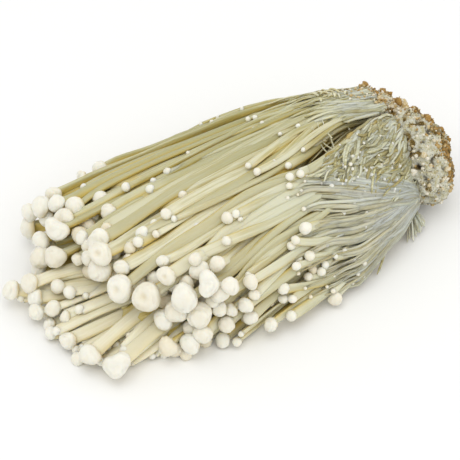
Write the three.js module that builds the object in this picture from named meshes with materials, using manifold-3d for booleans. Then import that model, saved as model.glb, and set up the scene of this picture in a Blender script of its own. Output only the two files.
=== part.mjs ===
// Enoki mushroom bunch, lying on its side as sold: a root block of grown
// mycelium with sawdust substrate on it, tufts of slender stems that fan out
// from it, and single mushrooms along the outside of the tufts.
// Millimetres, +Z up. The origin is on the flat patch that the root block rests
// on; the bunch grows toward -X.
import * as THREE from 'three';
import { mergeVertices } from 'three/addons/utils/BufferGeometryUtils.js';
import Module from 'manifold-3d';

// ---- driving dimensions (mm) -------------------------------------------------
const CLEARANCE = 0.3;           // air left between two pieces that lie together
const FLOOR_Z = 0;               // everything lowest rests on this plane
const ROOT_FACE_X = -8.5;        // where the stems leave the root block
const STEM_BASE_RADIUS = 0.75;   // single stem where it leaves the root
const STEM_TIP_RADIUS = 1.35;    // single stem just under its cap
const STEM_SIDES = 7;
const STEM_RINGS = 6;
const FLUTE_DEPTH = 0.85;        // groove between two stems on a tuft's outside
const TUFT_LENGTHS = 4;          // lengths of stem that a tuft's curve is made of
const TUFT_TWIST = 0.35;         // turn of the stems round the tuft, root to tip (rad)
const TIP_CAP_RADIUS = [2.0, 3.2];
const CAP_DEPTH = 0.62;          // a cap's depth over its width
const CRUST_THICKNESS = 1.5;     // sawdust skin on the outside of the root block
const BLOCK_SQUARENESS = 0.72;   // 1 is an ellipsoid, 0 a box
const TUFT_SQUARENESS = 0.8;

// The root block's two lobes: middle, half sizes and how lumpy each is.
const ROOT_LOBES = [
  { middle: [0.9, -7.7, 14.7], half: [11.2, 17.8, 15.7], lump: 0.9 },
  { middle: [-1.5, 10.0, 12.2], half: [9.6, 13.2, 13.0], lump: 0.8 },
];
// The crust covers the block's outer side, as far as this rounded region reaches.
const CRUST_REGION = { middle: [14.5, -8.5, 16.5], half: [8.5, 16.5, 14], lump: 1.2 };
const CRUMBS = [
  { name: 'substrate_crumb_back', middle: [-6, 13.5, 26], half: [3.8, 4.2, 2.2], lump: 0.35 },
  { name: 'substrate_crumb_top', middle: [0.8, 3.6, 28.2], half: [4.4, 3.8, 2.1], lump: 0.35 },
];

// How wide and how high the bunch is along its length. A stem keeps its share of
// the width, from -1 in front to 1 at the back, and of the height, all the way.
const FLOW_X = [-9, -24, -40, -60, -80, -100, -118, -136];
const FLOW_BACK_Y = [25, 35, 41, 44.5, 48, 52, 55, 58];
const FLOW_FRONT_Y = [-21.5, -30.5, -36.5, -41.5, -48, -54, -59, -63];
const FLOW_SHARES = [-1, -0.75, -0.4, 0, 0.5, 0.8, 1];
const FLOW_TOP_Z = [
  [12, 23, 31, 30, 29, 24.5, 15], [9, 25, 33, 33.5, 29.5, 22.5, 13.5],
  [7, 25, 34, 35, 29.5, 21, 12.5], [6, 24, 33.5, 33, 26.5, 16, 7],
  [5, 17, 29.5, 31, 24, 13.5, 5], [5, 10, 24, 26, 20.5, 9.5, 4],
  [4, 7, 15, 21, 17, 8, 4], [4, 6, 13, 19, 15, 8, 4],
];
// The stems on either side of the cleft part round it near the root, then close.
// Its back lip stands higher than its front one, and it leans forward with height.
const CLEFT = {
  share: -0.29, rootShare: 0.05, edge: 0.02, closedX: -52, widestX: -24, length: 14,
  opening: 0.12, fade: 0.22, backRise: 1.5, frontDrop: 3.5, slant: 0.5, slantHeight: 25,
};

// Groups of single mushrooms: the shares of width and height that a stem has at
// the root, from those at its cap, and between which X it goes over to them.
const GROUPS = {
  back: { root: (across, up) => [across, 0.95 * up], opens: [-10, -60] },
  middle: { root: (across, up) => [across, 0.95 * up], opens: [-10, -60] },
  front: { root: (across, up) => [-0.73 + 0.25 * across, 0.35 + 0.3 * up], opens: [-11, -46] },
  top: { root: (across, up) => [across, 0.95 * up], opens: [-10, -60] },
  fan: { root: (across) => [-0.25 + 0.3 * across, 0.12], opens: [-76, -150] },
};

// Every single mushroom: its group, the middle of its cap and the cap's width.
const MUSHROOMS = [
  ['back', [-110, 30, 16], 4.9], ['back', [-119, 29, 13], 5.0], ['back', [-121, 26, 10], 7.0],
  ['back', [-108, 19, 20], 5.6], ['back', [-116, 14, 18], 7.5], ['back', [-123, 12, 11], 6.3],
  ['back', [-100, 16.5, 22], 4.8], ['back', [-92, 34, 15.5], 4.7], ['back', [-99.5, 33, 15.5], 5.4],
  ['middle', [-108, 0, 24], 6.6], ['middle', [-109, -4, 21], 7.0], ['middle', [-106, -12, 22], 4.8],
  ['middle', [-109.5, -18, 20], 8.0], ['middle', [-103.5, -24, 19], 8.6], ['middle', [-96.5, -23, 24.5], 5.4],
  ['middle', [-94, -30, 20], 8.0], ['middle', [-86.5, -25.5, 24.5], 5.6], ['middle', [-85, -30, 21], 6.8],
  ['middle', [-91, -34, 14], 7.6], ['middle', [-95, -35.5, 5], 6.2], ['middle', [-79.5, -33, 19], 5.2],
  ['front', [-73.5, -34.5, 20], 4.8], ['front', [-70.5, -41, 6], 4.6], ['front', [-64, -37, 15], 3.8],
  ['front', [-52.5, -32.5, 19], 3.4], ['front', [-51, -27, 26], 4.0], ['front', [-47, -40, 4.2], 4.6],
  ['top', [-91, 15, 24.5], 3.0], ['top', [-80, -1.5, 31], 3.0], ['top', [-87, -5, 29], 3.5],
  ['top', [-96, -6.5, 27], 4.1], ['top', [-72.5, -17, 31.5], 3.7], ['top', [-56.5, -6, 33.5], 3.0],
  ['top', [-46, -17.5, 31.5], 3.0],
  ['fan', [-135, 8, 7], 5.6], ['fan', [-129.5, 2, 6], 5.2], ['fan', [-122, 0.5, 9], 4.2],
  ['fan', [-131, -2, 4.5], 4.8], ['fan', [-127, -16.5, 4], 5.2], ['fan', [-123.5, -25, 4.6], 6.0],
  ['fan', [-118, -32.5, 5], 7.4],
];

// Tufts of stems grown so close that they read as one ribbed body. Each station
// holds x, y, z of the middle, half width and half height. A tuft earlier in the
// list keeps its full shape where two would meet.
const TUFTS = [
  { name: 'tuft_floor_fan', flutes: 14, caps: 8, stations: [
    [-9.2, -1, 4, 8, 3.6], [-50, -7, 3.6, 10, 3.3], [-92, -11, 3.2, 13, 3.1],
    [-116, -10, 3, 16, 2.8], [-126, -8, 2.8, 14, 2.4]] },
  { name: 'tuft_back_upper', flutes: 12, caps: 7, stations: [
    [-10.4, 12, 18, 8, 6.5], [-28, 16, 23, 10, 7], [-60, 21, 18, 13, 6.5],
    [-90, 21, 15, 14, 6], [-110, 20, 13, 11, 4.6]] },
  { name: 'tuft_top_middle', flutes: 11, caps: 5, stations: [
    [-9.2, -3, 24, 5.5, 5.5], [-38, -4, 29, 8, 6], [-68, -7, 26, 10, 6],
    [-90, -9, 21, 10, 5.5], [-102, -8, 19, 8, 4.6]] },
  { name: 'tuft_middle', flutes: 11, caps: 6, stations: [
    [-9.2, -11, 21, 5.5, 7], [-40, -18, 26, 8, 7.5], [-67, -22, 24, 8.5, 7],
    [-88, -25, 19, 8, 6], [-99, -25, 17, 7, 5]] },
  { name: 'tuft_front', flutes: 10, caps: 6, stations: [
    [-9.2, -17, 13, 5, 7], [-38, -27, 16, 6.5, 9], [-62, -31, 14, 7, 8.5],
    [-82, -33, 10, 6, 7], [-89, -33, 8, 5.5, 5]] },
  { name: 'tuft_front_low', flutes: 9, caps: 4, stations: [
    [-9.2, -15, 5, 6, 4.6], [-24, -22, 5.2, 6, 5.3], [-40, -30, 5, 6, 5],
    [-54, -34, 4.6, 5, 4.4], [-62, -36, 4, 4, 3.4]] },
  { name: 'tuft_back_edge', flutes: 10, caps: 5, stations: [
    [-10, 19, 9, 4, 7], [-34, 31, 10, 6.5, 7.5], [-64, 32, 8, 7, 6.5],
    [-86, 31.5, 8, 6.5, 5.5], [-93, 31, 8, 6, 4.6]] },
  { name: 'tuft_back_low', flutes: 11, caps: 5, stations: [
    [-10.4, 9, 6.5, 8, 6], [-35, 15, 8, 11, 7.8], [-65, 19, 6, 13, 6],
    [-95, 19, 5, 13, 4.9], [-111, 17, 4.4, 11, 4.2]] },
  { name: 'tuft_core', flutes: 8, caps: 0, stations: [
    [-9.2, -2, 12, 8, 6], [-40, -7, 14, 12, 8], [-70, -11, 11, 14, 7],
    [-88, -15, 9, 12, 5]] },
];

const COLOURS = {
  mycelium: '#E4DFCF', crust: '#8C6A3C', crumb: '#A86A2E', mushroom: '#E9E3C4', stems: '#CFC99F',
};

const wasm = await Module();
wasm.setup();

// ---- numbers ---------------------------------------------------------------------
const between = (a, b, t) => a + (b - a) * t;
const clamp = (v) => Math.min(1, Math.max(0, v));
const squared = (v, squareness) => Math.sign(v) * Math.abs(v) ** squareness;

// The value at v of the line through the points (places, values), places rising.
function onLine(v, places, values) {
  const above = places.findIndex((place, k) => k > 0 && v <= place);
  const k = above < 0 ? places.length - 1 : above;
  return between(values[k - 1], values[k], clamp((v - places[k - 1]) / (places[k] - places[k - 1])));
}

// Repeatable random numbers from 0 to 1.
function randomFrom(seed) {
  let state = seed >>> 0;
  return () => {
    state = (Math.imul(state, 1664525) + 1013904223) >>> 0;
    return state / 2 ** 32;
  };
}

// ---- solids ------------------------------------------------------------------------
function toSolid(geometry) {
  geometry.deleteAttribute('uv');
  geometry.deleteAttribute('normal');
  const merged = mergeVertices(geometry, 1e-4);
  return new wasm.Manifold(new wasm.Mesh({
    numProp: 3,
    vertProperties: new Float32Array(merged.attributes.position.array),
    triVerts: new Uint32Array(merged.index.array),
  }));
}

// The geometry of a closed body swept through rings that all have as many
// points, and closed at each end by a fan to that ring's middle.
function sweptGeometry(rings) {
  const n = rings[0].length;
  const middle = (ring) => ring.reduce((sum, p) => sum.add(p), new THREE.Vector3()).divideScalar(n);
  const points = [...rings.flat(), middle(rings[0]), middle(rings[rings.length - 1])];
  const start = rings.length * n;
  const index = [];
  for (let i = 0; i < n; i++) {
    const next = (i + 1) % n;
    for (let r = 0; r < rings.length - 1; r++) {
      const here = r * n;
      const there = here + n;
      index.push(here + i, here + next, there + next, here + i, there + next, there + i);
    }
    index.push(start, next, i, start + 1, start - n + i, start - n + next);
  }
  const geometry = new THREE.BufferGeometry().setFromPoints(points);
  geometry.setIndex(index);
  return geometry;
}

// The largest connected body, so that a cut leaves no crumbs behind.
function largest(solid) {
  return solid.decompose().reduce((a, b) => (b.volume() > a.volume() ? b : a));
}

function aboveFloor(solid) {
  return solid.trimByPlane([0, 0, 1], FLOOR_Z);
}

function cutBy(solid, others) {
  return others.reduce((rest, other) => rest.subtract(other), solid);
}

function addPiece(group, name, solid, colour, roughness) {
  const { vertProperties, triVerts } = solid.getMesh();
  const geometry = new THREE.BufferGeometry();
  geometry.setAttribute('position', new THREE.BufferAttribute(new Float32Array(vertProperties), 3));
  geometry.setIndex(new THREE.BufferAttribute(new Uint32Array(triVerts), 1));
  geometry.computeVertexNormals();
  const material = new THREE.MeshStandardMaterial({ color: colour, roughness, metalness: 0 });
  const mesh = new THREE.Mesh(geometry, material);
  mesh.name = name;
  group.add(mesh);
}

// ---- root block ----------------------------------------------------------------------
// A rounded, lumpy block: a squared-off ball with slow bumps on it.
function lumpyBlock({ middle, half, lump }, grow, around = 22, rings = 12) {
  const geometry = new THREE.SphereGeometry(1, around, rings);
  const place = geometry.attributes.position;
  const p = new THREE.Vector3();
  for (let i = 0; i < place.count; i++) {
    p.fromBufferAttribute(place, i).normalize();
    const bump = lump * (Math.sin(4 * p.x + 3 * p.z) * Math.cos(5 * p.y) + 0.5 * Math.sin(9 * p.y + 6 * p.z));
    const out = [p.x, p.y, p.z].map((v, axis) => (
      middle[axis] + squared(v, BLOCK_SQUARENESS) * (half[axis] + grow + (axis < 2 ? bump : 0.4 * bump))));
    place.setXYZ(i, ...out);
  }
  return toSolid(geometry);
}

function rootBlock(grow) {
  return ROOT_LOBES.map((lobe) => lumpyBlock(lobe, grow)).reduce((a, b) => a.add(b));
}

// ---- single mushrooms --------------------------------------------------------------------
const fromRoot = FLOW_X.map((x) => -x);
const backAt = (x) => onLine(-x, fromRoot, FLOW_BACK_Y);
const frontAt = (x) => onLine(-x, fromRoot, FLOW_FRONT_Y);
const topAt = (x, share) => onLine(-x, fromRoot, FLOW_TOP_Z.map((row) => onLine(share, FLOW_SHARES, row)));
const yAt = (x, share) => between(frontAt(x), backAt(x), (share + 1) / 2);

const parting = (x) => Math.exp(-(((x - CLEFT.widestX) / CLEFT.length) ** 2));
const byCleft = (kept) => Math.exp(-Math.abs(kept - CLEFT.share) / CLEFT.fade);

// The share of the width that a stem has at x, for the share that it keeps
// beyond the cleft.
function shareAt(kept, x) {
  const atRoot = onLine(kept, [-1, CLEFT.share - CLEFT.edge, CLEFT.share + CLEFT.edge, 1],
    [-1, CLEFT.rootShare - CLEFT.edge, CLEFT.rootShare + CLEFT.edge, 1]);
  const nearRoot = THREE.MathUtils.smoothstep(x, CLEFT.closedX, FLOW_X[0]);
  const side = kept < CLEFT.share ? -1 : 1;
  return kept + (atRoot - kept) * nearRoot + side * CLEFT.opening * parting(x) * byCleft(kept);
}

// The share that leads a stem to a cap, found by halving the width again and again.
function keptShare([x, y]) {
  let low = -1.1;
  let high = 1.1;
  for (let step = 0; step < 30; step++) {
    const middle = (low + high) / 2;
    if (yAt(x, shareAt(middle, x)) < y) low = middle;
    else high = middle;
  }
  return low;
}

// The middle line of a single mushroom's stem, from the root to its cap.
function stemLine([groupName, cap]) {
  const points = 14;
  const { root, opens } = GROUPS[groupName];
  const across = keptShare(cap);
  const up = cap[2] / topAt(cap[0], shareAt(across, cap[0]));
  const [rootAcross, rootUp] = root(across, Math.min(1, up));
  const opened = Math.max(opens[1], cap[0]);
  return Array.from({ length: points + 1 }, (_, i) => {
    const x = between(ROOT_FACE_X, cap[0], i / points);
    const over = clamp((x - opens[0]) / (opened - opens[0]));
    const kept = between(rootAcross, across, over);
    const share = shareAt(kept, x);
    const near = parting(x) * byCleft(kept);
    const lip = kept < CLEFT.share ? -CLEFT.frontDrop : CLEFT.backRise;
    const z = between(rootUp, up, over) * (topAt(x, share) + lip * near);
    return new THREE.Vector3(x, yAt(x, share) + CLEFT.slant * (CLEFT.slantHeight - z) * near, z);
  });
}

// Stems that would run into one another are moved apart sideways, a little at a
// time, and each is kept a smooth line above the floor.
function spreadStems(lines) {
  const alongShare = 0.45;   // distance along X counts less: the stems run that way
  const roomFor = (k, i) => (i === lines[k].length - 1 ? MUSHROOMS[k][2] / 2 : STEM_TIP_RADIUS);
  const spacing = CLEARANCE + 0.25;
  const passes = 60;
  const part = new THREE.Vector3();
  const movePair = (a, b) => {
    lines[a].forEach((p, i) => {
      lines[b].forEach((q, j) => {
        const room = roomFor(a, i) + roomFor(b, j) + spacing;
        part.subVectors(p, q);
        const distance = Math.hypot(alongShare * part.x, part.y, part.z);
        if (distance >= room) return;
        part.x = 0;
        if (part.length() < 1e-3) part.set(0, 0.6, 0.8);
        part.setLength((room - distance) / 4);
        if (i > 0) p.add(part);
        if (j > 0) q.sub(part);
      });
    });
  };
  for (let pass = 0; pass < passes; pass++) {
    for (let a = 0; a < lines.length; a++) {
      for (let b = a + 1; b < lines.length; b++) movePair(a, b);
    }
    lines.forEach((line, k) => {
      for (let i = 1; i < line.length; i++) {
        if (i < line.length - 1) {
          line[i].lerp(line[i - 1].clone().add(line[i + 1]).divideScalar(2), 0.25);
        }
        line[i].z = Math.max(line[i].z, FLOOR_Z + 0.8 * roomFor(k, i));
      }
    });
  }
  return lines;
}

// One mushroom as a single solid: stem, rolled-in cap margin and domed cap.
function mushroomSolid(line, capWidth, grow, sides = STEM_SIDES, stemRings = STEM_RINGS) {
  const curve = new THREE.CatmullRomCurve3(line);
  const steps = 60;
  const frames = curve.computeFrenetFrames(steps, false);
  const radius = capWidth / 2;
  const depth = CAP_DEPTH * capWidth;
  const ringAt = (t, ringRadius, beyond) => {
    const k = Math.round(t * steps);
    const middle = curve.getPointAt(t).addScaledVector(frames.tangents[k], beyond);
    return Array.from({ length: sides }, (_, i) => {
      const angle = (2 * Math.PI * i) / sides;
      return middle.clone()
        .addScaledVector(frames.normals[k], Math.cos(angle) * ringRadius)
        .addScaledVector(frames.binormals[k], Math.sin(angle) * ringRadius);
    });
  };
  const neck = 1 - (0.45 * depth) / curve.getLength();
  const stem = Array.from({ length: stemRings }, (_, r) => {
    const t = (neck * r) / (stemRings - 1);
    return ringAt(t, between(STEM_BASE_RADIUS, STEM_TIP_RADIUS, t) + grow, r === 0 ? -grow : 0);
  });
  const cap = [
    ringAt(1, 0.84 * radius + grow, -0.5 * depth - grow),
    ringAt(1, radius + grow, -0.1 * depth),
    ringAt(1, 0.78 * radius + grow, 0.3 * depth + 0.5 * grow),
    ringAt(1, 0.34 * radius + 0.6 * grow, 0.5 * depth + grow),
  ];
  return toSolid(sweptGeometry([...stem, ...cap]));
}

// The room a mushroom takes from a tuft: the same shape with a few broad sides,
// which hold the round stem and the clearance inside them.
function mushroomRoom(line, capWidth) {
  const sides = 5;
  const grow = (STEM_TIP_RADIUS + CLEARANCE) / Math.cos(Math.PI / sides) - STEM_TIP_RADIUS;
  return mushroomSolid(line, 1.12 * capWidth, grow, sides);
}

// ---- tufts -----------------------------------------------------------------------------------
function tuftBody({ stations }, grow, sides, groove) {
  const spine = new THREE.CatmullRomCurve3(stations.map(([x, y, z]) => new THREE.Vector3(x, y, z)));
  const rings = [];
  for (let r = 0; r <= TUFT_LENGTHS; r++) {
    const t = r / TUFT_LENGTHS;
    const k = Math.min(stations.length - 2, Math.floor(t * (stations.length - 1)));
    const past = t * (stations.length - 1) - k;
    const halfWidth = between(stations[k][3], stations[k + 1][3], past) + grow;
    const halfHeight = between(stations[k][4], stations[k + 1][4], past) + grow;
    const ahead = spine.getTangent(t);
    const across = new THREE.Vector3(-ahead.y, ahead.x, 0).normalize();
    const middle = spine.getPoint(t);
    if (r === 0) middle.x += grow;
    if (r === TUFT_LENGTHS) middle.x -= grow;
    rings.push(Array.from({ length: sides }, (_, i) => {
      const angle = (2 * Math.PI * i) / sides + TUFT_TWIST * t;
      const inset = i % 2 ? groove : 0;
      const sideways = squared(Math.cos(angle), TUFT_SQUARENESS) * (halfWidth - inset);
      const upward = squared(Math.sin(angle), TUFT_SQUARENESS) * (halfHeight - inset);
      return middle.clone().addScaledVector(across, sideways).add(new THREE.Vector3(0, 0, upward));
    }));
  }
  return toSolid(sweptGeometry(rings));
}

// A cap at the end of a tuft: a low dome with its margin rolled in, facing -X.
function capDome(middle, radius, tilt, grow) {
  const profile = [[0, -0.5], [0.6, -0.62], [0.98, -0.15], [0.8, 0.38], [0, 0.62]]
    .map(([out, up]) => new THREE.Vector2(out * (radius + grow), up * (radius + grow)));
  const geometry = new THREE.LatheGeometry(profile, 6);
  geometry.rotateZ(Math.PI / 2 + tilt);
  geometry.translate(...middle);
  return toSolid(geometry);
}

function tuftCaps({ stations, caps }, grow, seed) {
  const random = randomFrom(seed);
  const [x, y, z, halfWidth, halfHeight] = stations[stations.length - 1];
  return Array.from({ length: caps }, (_, k) => {
    const angle = (2 * Math.PI * (k + 0.5 * random())) / caps;
    const out = between(0.35, 0.95, random());
    const radius = between(...TIP_CAP_RADIUS, random());
    const middle = [
      x - between(1.2, 3.4, random()),
      y + Math.cos(angle) * out * halfWidth,
      Math.max(z + Math.sin(angle) * out * halfHeight, FLOOR_Z + radius),
    ];
    return capDome(middle, radius, between(-0.35, 0.35, random()), grow);
  });
}

function tuftSolid(tuft, seed) {
  const body = tuftBody(tuft, 0, 2 * tuft.flutes, FLUTE_DEPTH);
  return tuftCaps(tuft, 0, seed).reduce((a, b) => a.add(b), body);
}

// The room a tuft takes from its neighbours: the same body with a few broad sides.
function tuftRoom(tuft, seed) {
  const sides = 14;
  const widest = Math.max(...tuft.stations.map((s) => Math.max(s[3], s[4])));
  const grow = (widest + CLEARANCE) / Math.cos(Math.PI / sides) - widest;
  return tuftCaps(tuft, CLEARANCE, seed).reduce((a, b) => a.add(b), tuftBody(tuft, grow, sides, 0));
}

// ---- assembly ------------------------------------------------------------------------------------
function addRoot(group) {
  const block = rootBlock(0);
  const clear = rootBlock(CLEARANCE);
  addPiece(group, 'root_block', largest(aboveFloor(block)), COLOURS.mycelium, 0.95);
  const crumbs = CRUMBS.map((crumb) => {
    addPiece(group, crumb.name, largest(lumpyBlock(crumb, 0, 10, 6).subtract(clear)), COLOURS.crumb, 1);
    return lumpyBlock(crumb, CLEARANCE, 10, 6);
  });
  const skin = rootBlock(CLEARANCE + CRUST_THICKNESS).intersect(lumpyBlock(CRUST_REGION, 0, 16, 10));
  addPiece(group, 'substrate_crust', largest(cutBy(aboveFloor(skin), [clear, ...crumbs])), COLOURS.crust, 1);
  return [clear, ...crumbs];
}

function addMushrooms(group, keepOut) {
  const lines = spreadStems(MUSHROOMS.map(stemLine));
  const made = [];
  const counts = {};
  MUSHROOMS.forEach(([groupName, , width], k) => {
    counts[groupName] = (counts[groupName] ?? 0) + 1;
    const solid = cutBy(aboveFloor(mushroomSolid(lines[k], width, 0)), [...keepOut, ...made]);
    const name = `mushroom_${groupName}_${String(counts[groupName]).padStart(2, '0')}`;
    addPiece(group, name, largest(solid), COLOURS.mushroom, 0.7);
    made.push(mushroomSolid(lines[k], width, CLEARANCE));
  });
  return MUSHROOMS.map(([, , width], k) => mushroomRoom(lines[k], width));
}

function addTufts(group, keepOut) {
  const taken = [...keepOut];
  TUFTS.forEach((tuft, k) => {
    const solid = cutBy(aboveFloor(tuftSolid(tuft, k + 1)), taken);
    addPiece(group, tuft.name, largest(solid), COLOURS.stems, 0.75);
    taken.push(tuftRoom(tuft, k + 1));
  });
}

const bunch = new THREE.Group();
bunch.name = 'enoki_mushroom_bunch';
const rootRoom = addRoot(bunch);
const mushroomRooms = addMushrooms(bunch, rootRoom);
addTufts(bunch, [...rootRoom, ...mushroomRooms]);

export default bunch;
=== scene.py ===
"""Enoki mushroom bunch, lying on its side: the looks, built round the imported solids.

Sizes in the classes below are millimetres, or metres where their name ends in _m,
in the part's own frame: the root block stands over the origin, the bunch grows
toward -X, and Z is up. Meshes are made in metres, in the same frame.
"""
import logging
import math
import random
from collections.abc import Sequence
from dataclasses import dataclass, field
from enum import Enum

import bmesh
import bpy
import numpy as np
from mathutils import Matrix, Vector, kdtree, noise


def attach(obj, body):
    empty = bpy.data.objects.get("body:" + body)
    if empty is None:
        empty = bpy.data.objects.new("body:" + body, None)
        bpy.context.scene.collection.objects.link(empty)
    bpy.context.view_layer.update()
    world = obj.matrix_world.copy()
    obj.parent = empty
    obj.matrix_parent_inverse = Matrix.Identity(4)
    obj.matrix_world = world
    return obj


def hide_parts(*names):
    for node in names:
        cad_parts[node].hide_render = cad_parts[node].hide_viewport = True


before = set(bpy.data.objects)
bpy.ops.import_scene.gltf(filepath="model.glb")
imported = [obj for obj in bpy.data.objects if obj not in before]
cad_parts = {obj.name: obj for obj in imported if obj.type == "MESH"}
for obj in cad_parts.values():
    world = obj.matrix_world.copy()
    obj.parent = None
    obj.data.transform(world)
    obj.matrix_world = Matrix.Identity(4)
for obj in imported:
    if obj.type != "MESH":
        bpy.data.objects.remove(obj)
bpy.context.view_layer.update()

LOG = logging.getLogger("enoki")
Array = np.ndarray
Pair = tuple[float, float]
Triple = tuple[float, float, float]
MM = 0.001  # metres in a millimetre


# ---------------------------------------------------------------- numbers
def unit(vectors: Array) -> Array:
    """Scale vectors to length one.

    Args:
        vectors: Any array whose last axis is x, y, z.

    Returns:
        The same directions at length one.
    """
    length = np.linalg.norm(vectors, axis=-1, keepdims=True)
    return vectors / np.maximum(length, 1e-9)


def smooth_step(low: float, high: float, value: Array) -> Array:
    """Rise smoothly from 0 at low to 1 at high.

    Args:
        low: Value where the rise starts.
        high: Value where it ends.
        value: Where to read it.

    Returns:
        The height of the step at each value.
    """
    t = np.clip((value - low) / (high - low), 0.0, 1.0)
    return t * t * (3.0 - 2.0 * t)


def bumps(points: Array, size: float, seed: int = 0) -> Array:
    """Read smooth random bumps at points.

    Args:
        points: Places to read, in millimetres.
        size: Size of one bump, in millimetres.
        seed: Which pattern of bumps.

    Returns:
        One value from about -1 to 1 for each point.
    """
    shift = Vector((17.3 * seed, -9.1 * seed, 5.7 * seed))
    return np.array([noise.noise(Vector(p) / size + shift) for p in points])


def relax(lines: Array, times: int) -> None:
    """Even out the bends of lines of points in place; their ends stay.

    Args:
        lines: One or more lines, as points by x, y, z.
        times: How often.
    """
    for _ in range(times):
        lines[..., 1:-1, :] = 0.5 * lines[..., 1:-1, :] + 0.25 * (lines[..., :-2, :] + lines[..., 2:, :])


def refine(lines: Array, shares: Sequence[float]) -> Array:
    """Read more points of lines, at shares of the way from each point to the next."""
    return np.concatenate([lines[:, :-1] * (1 - f) + lines[:, 1:] * f for f in shares], 1)


def read_grid(table: Array, row: Array, column: Array) -> Array:
    """Read a grid of values at places between its own.

    Args:
        table: Rows and columns of values.
        row: Places down the grid, in rows.
        column: Places across it, in columns.

    Returns:
        One value for each place.
    """
    i = np.minimum(row.astype(int), len(table) - 2)
    j = np.minimum(column.astype(int), table.shape[1] - 2)
    down, right = row - i, column - j
    near = table[i, j] * (1 - right) + table[i, j + 1] * right
    far = table[i + 1, j] * (1 - right) + table[i + 1, j + 1] * right
    return near * (1 - down) + far * down


def nearby(grid: Array) -> list[Array]:
    """Give nine shifted copies of a grid, so that each cell meets its neighbours."""
    wide = np.pad(grid, 1, mode="edge")
    rows, columns = grid.shape
    return [wide[i:i + rows, j:j + columns] for i in range(3) for j in range(3)]


# ---------------------------------------------------------------- colour and nodes
def linear(hex_colour: str) -> tuple[float, float, float, float]:
    """Turn an sRGB hex colour into the linear colour a shader takes.

    Args:
        hex_colour: Such as "#F3F0E0".

    Returns:
        Red, green, blue and an alpha of 1.
    """
    channels = [int(hex_colour[i:i + 2], 16) / 255 for i in (1, 3, 5)]
    values = [c / 12.92 if c <= 0.04045 else ((c + 0.055) / 1.055) ** 2.4 for c in channels]
    return (*values, 1.0)


def set_stops(ramp: bpy.types.ColorRamp, stops: Sequence[tuple[float, str]]) -> None:
    """Give a colour ramp its stops.

    Args:
        ramp: The colour ramp.
        stops: Place from 0 to 1 and hex colour of each stop, in order.
    """
    elements = ramp.elements
    while len(elements) > 1:
        elements.remove(elements[-1])
    elements[0].position, elements[0].color = stops[0][0], linear(stops[0][1])
    for place, colour in stops[1:]:
        elements.new(place).color = linear(colour)


# Sockets of a colour mix: its share, its two colours and its answer.
SHARE, FIRST, SECOND, MIXED = 0, 6, 7, 2


class Surface:
    """A new Principled material that a finish fills in."""

    def __init__(self, name: str) -> None:
        """Start an empty material.

        Args:
            name: The real material's plain name.
        """
        self.material = bpy.data.materials.new(name)
        self.material.use_nodes = True
        self.tree = self.material.node_tree
        self.shader = self.tree.nodes["Principled BSDF"]

    def node(self, kind: str, links: dict | None = None, output: int | str = 0,
             **settings) -> bpy.types.NodeSocket:
        """Add a shader node, set it and link it.

        Args:
            kind: The node's type without its first words, such as "Bump".
            links: Input name or number to the output socket that feeds it, or to a value.
            output: Name or number of the output that is wanted.
            **settings: Properties of the node itself, or the stops of a colour ramp.

        Returns:
            The wanted output's socket.
        """
        node = self.tree.nodes.new("ShaderNode" + kind)
        for name, value in settings.items():
            if name == "stops":
                set_stops(node.color_ramp, value)
            else:
                setattr(node, name, value)
        for name, source in (links or {}).items():
            self.feed(node.inputs[name], source)
        return node.outputs[output]

    def feed(self, socket: bpy.types.NodeSocket, source: object) -> None:
        """Link a socket to the output that feeds it, or set it to a value."""
        if isinstance(source, bpy.types.NodeSocket):
            self.tree.links.new(source, socket)
        else:
            socket.default_value = source

    def finish(self, **sockets) -> bpy.types.Material:
        """Set or link the shader's own sockets.

        Args:
            **sockets: Socket name, with _ for a space, to a number, colour or socket.

        Returns:
            The finished material.
        """
        for name, value in sockets.items():
            self.feed(self.shader.inputs[name.replace("_", " ")], value)
        return self.material


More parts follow.
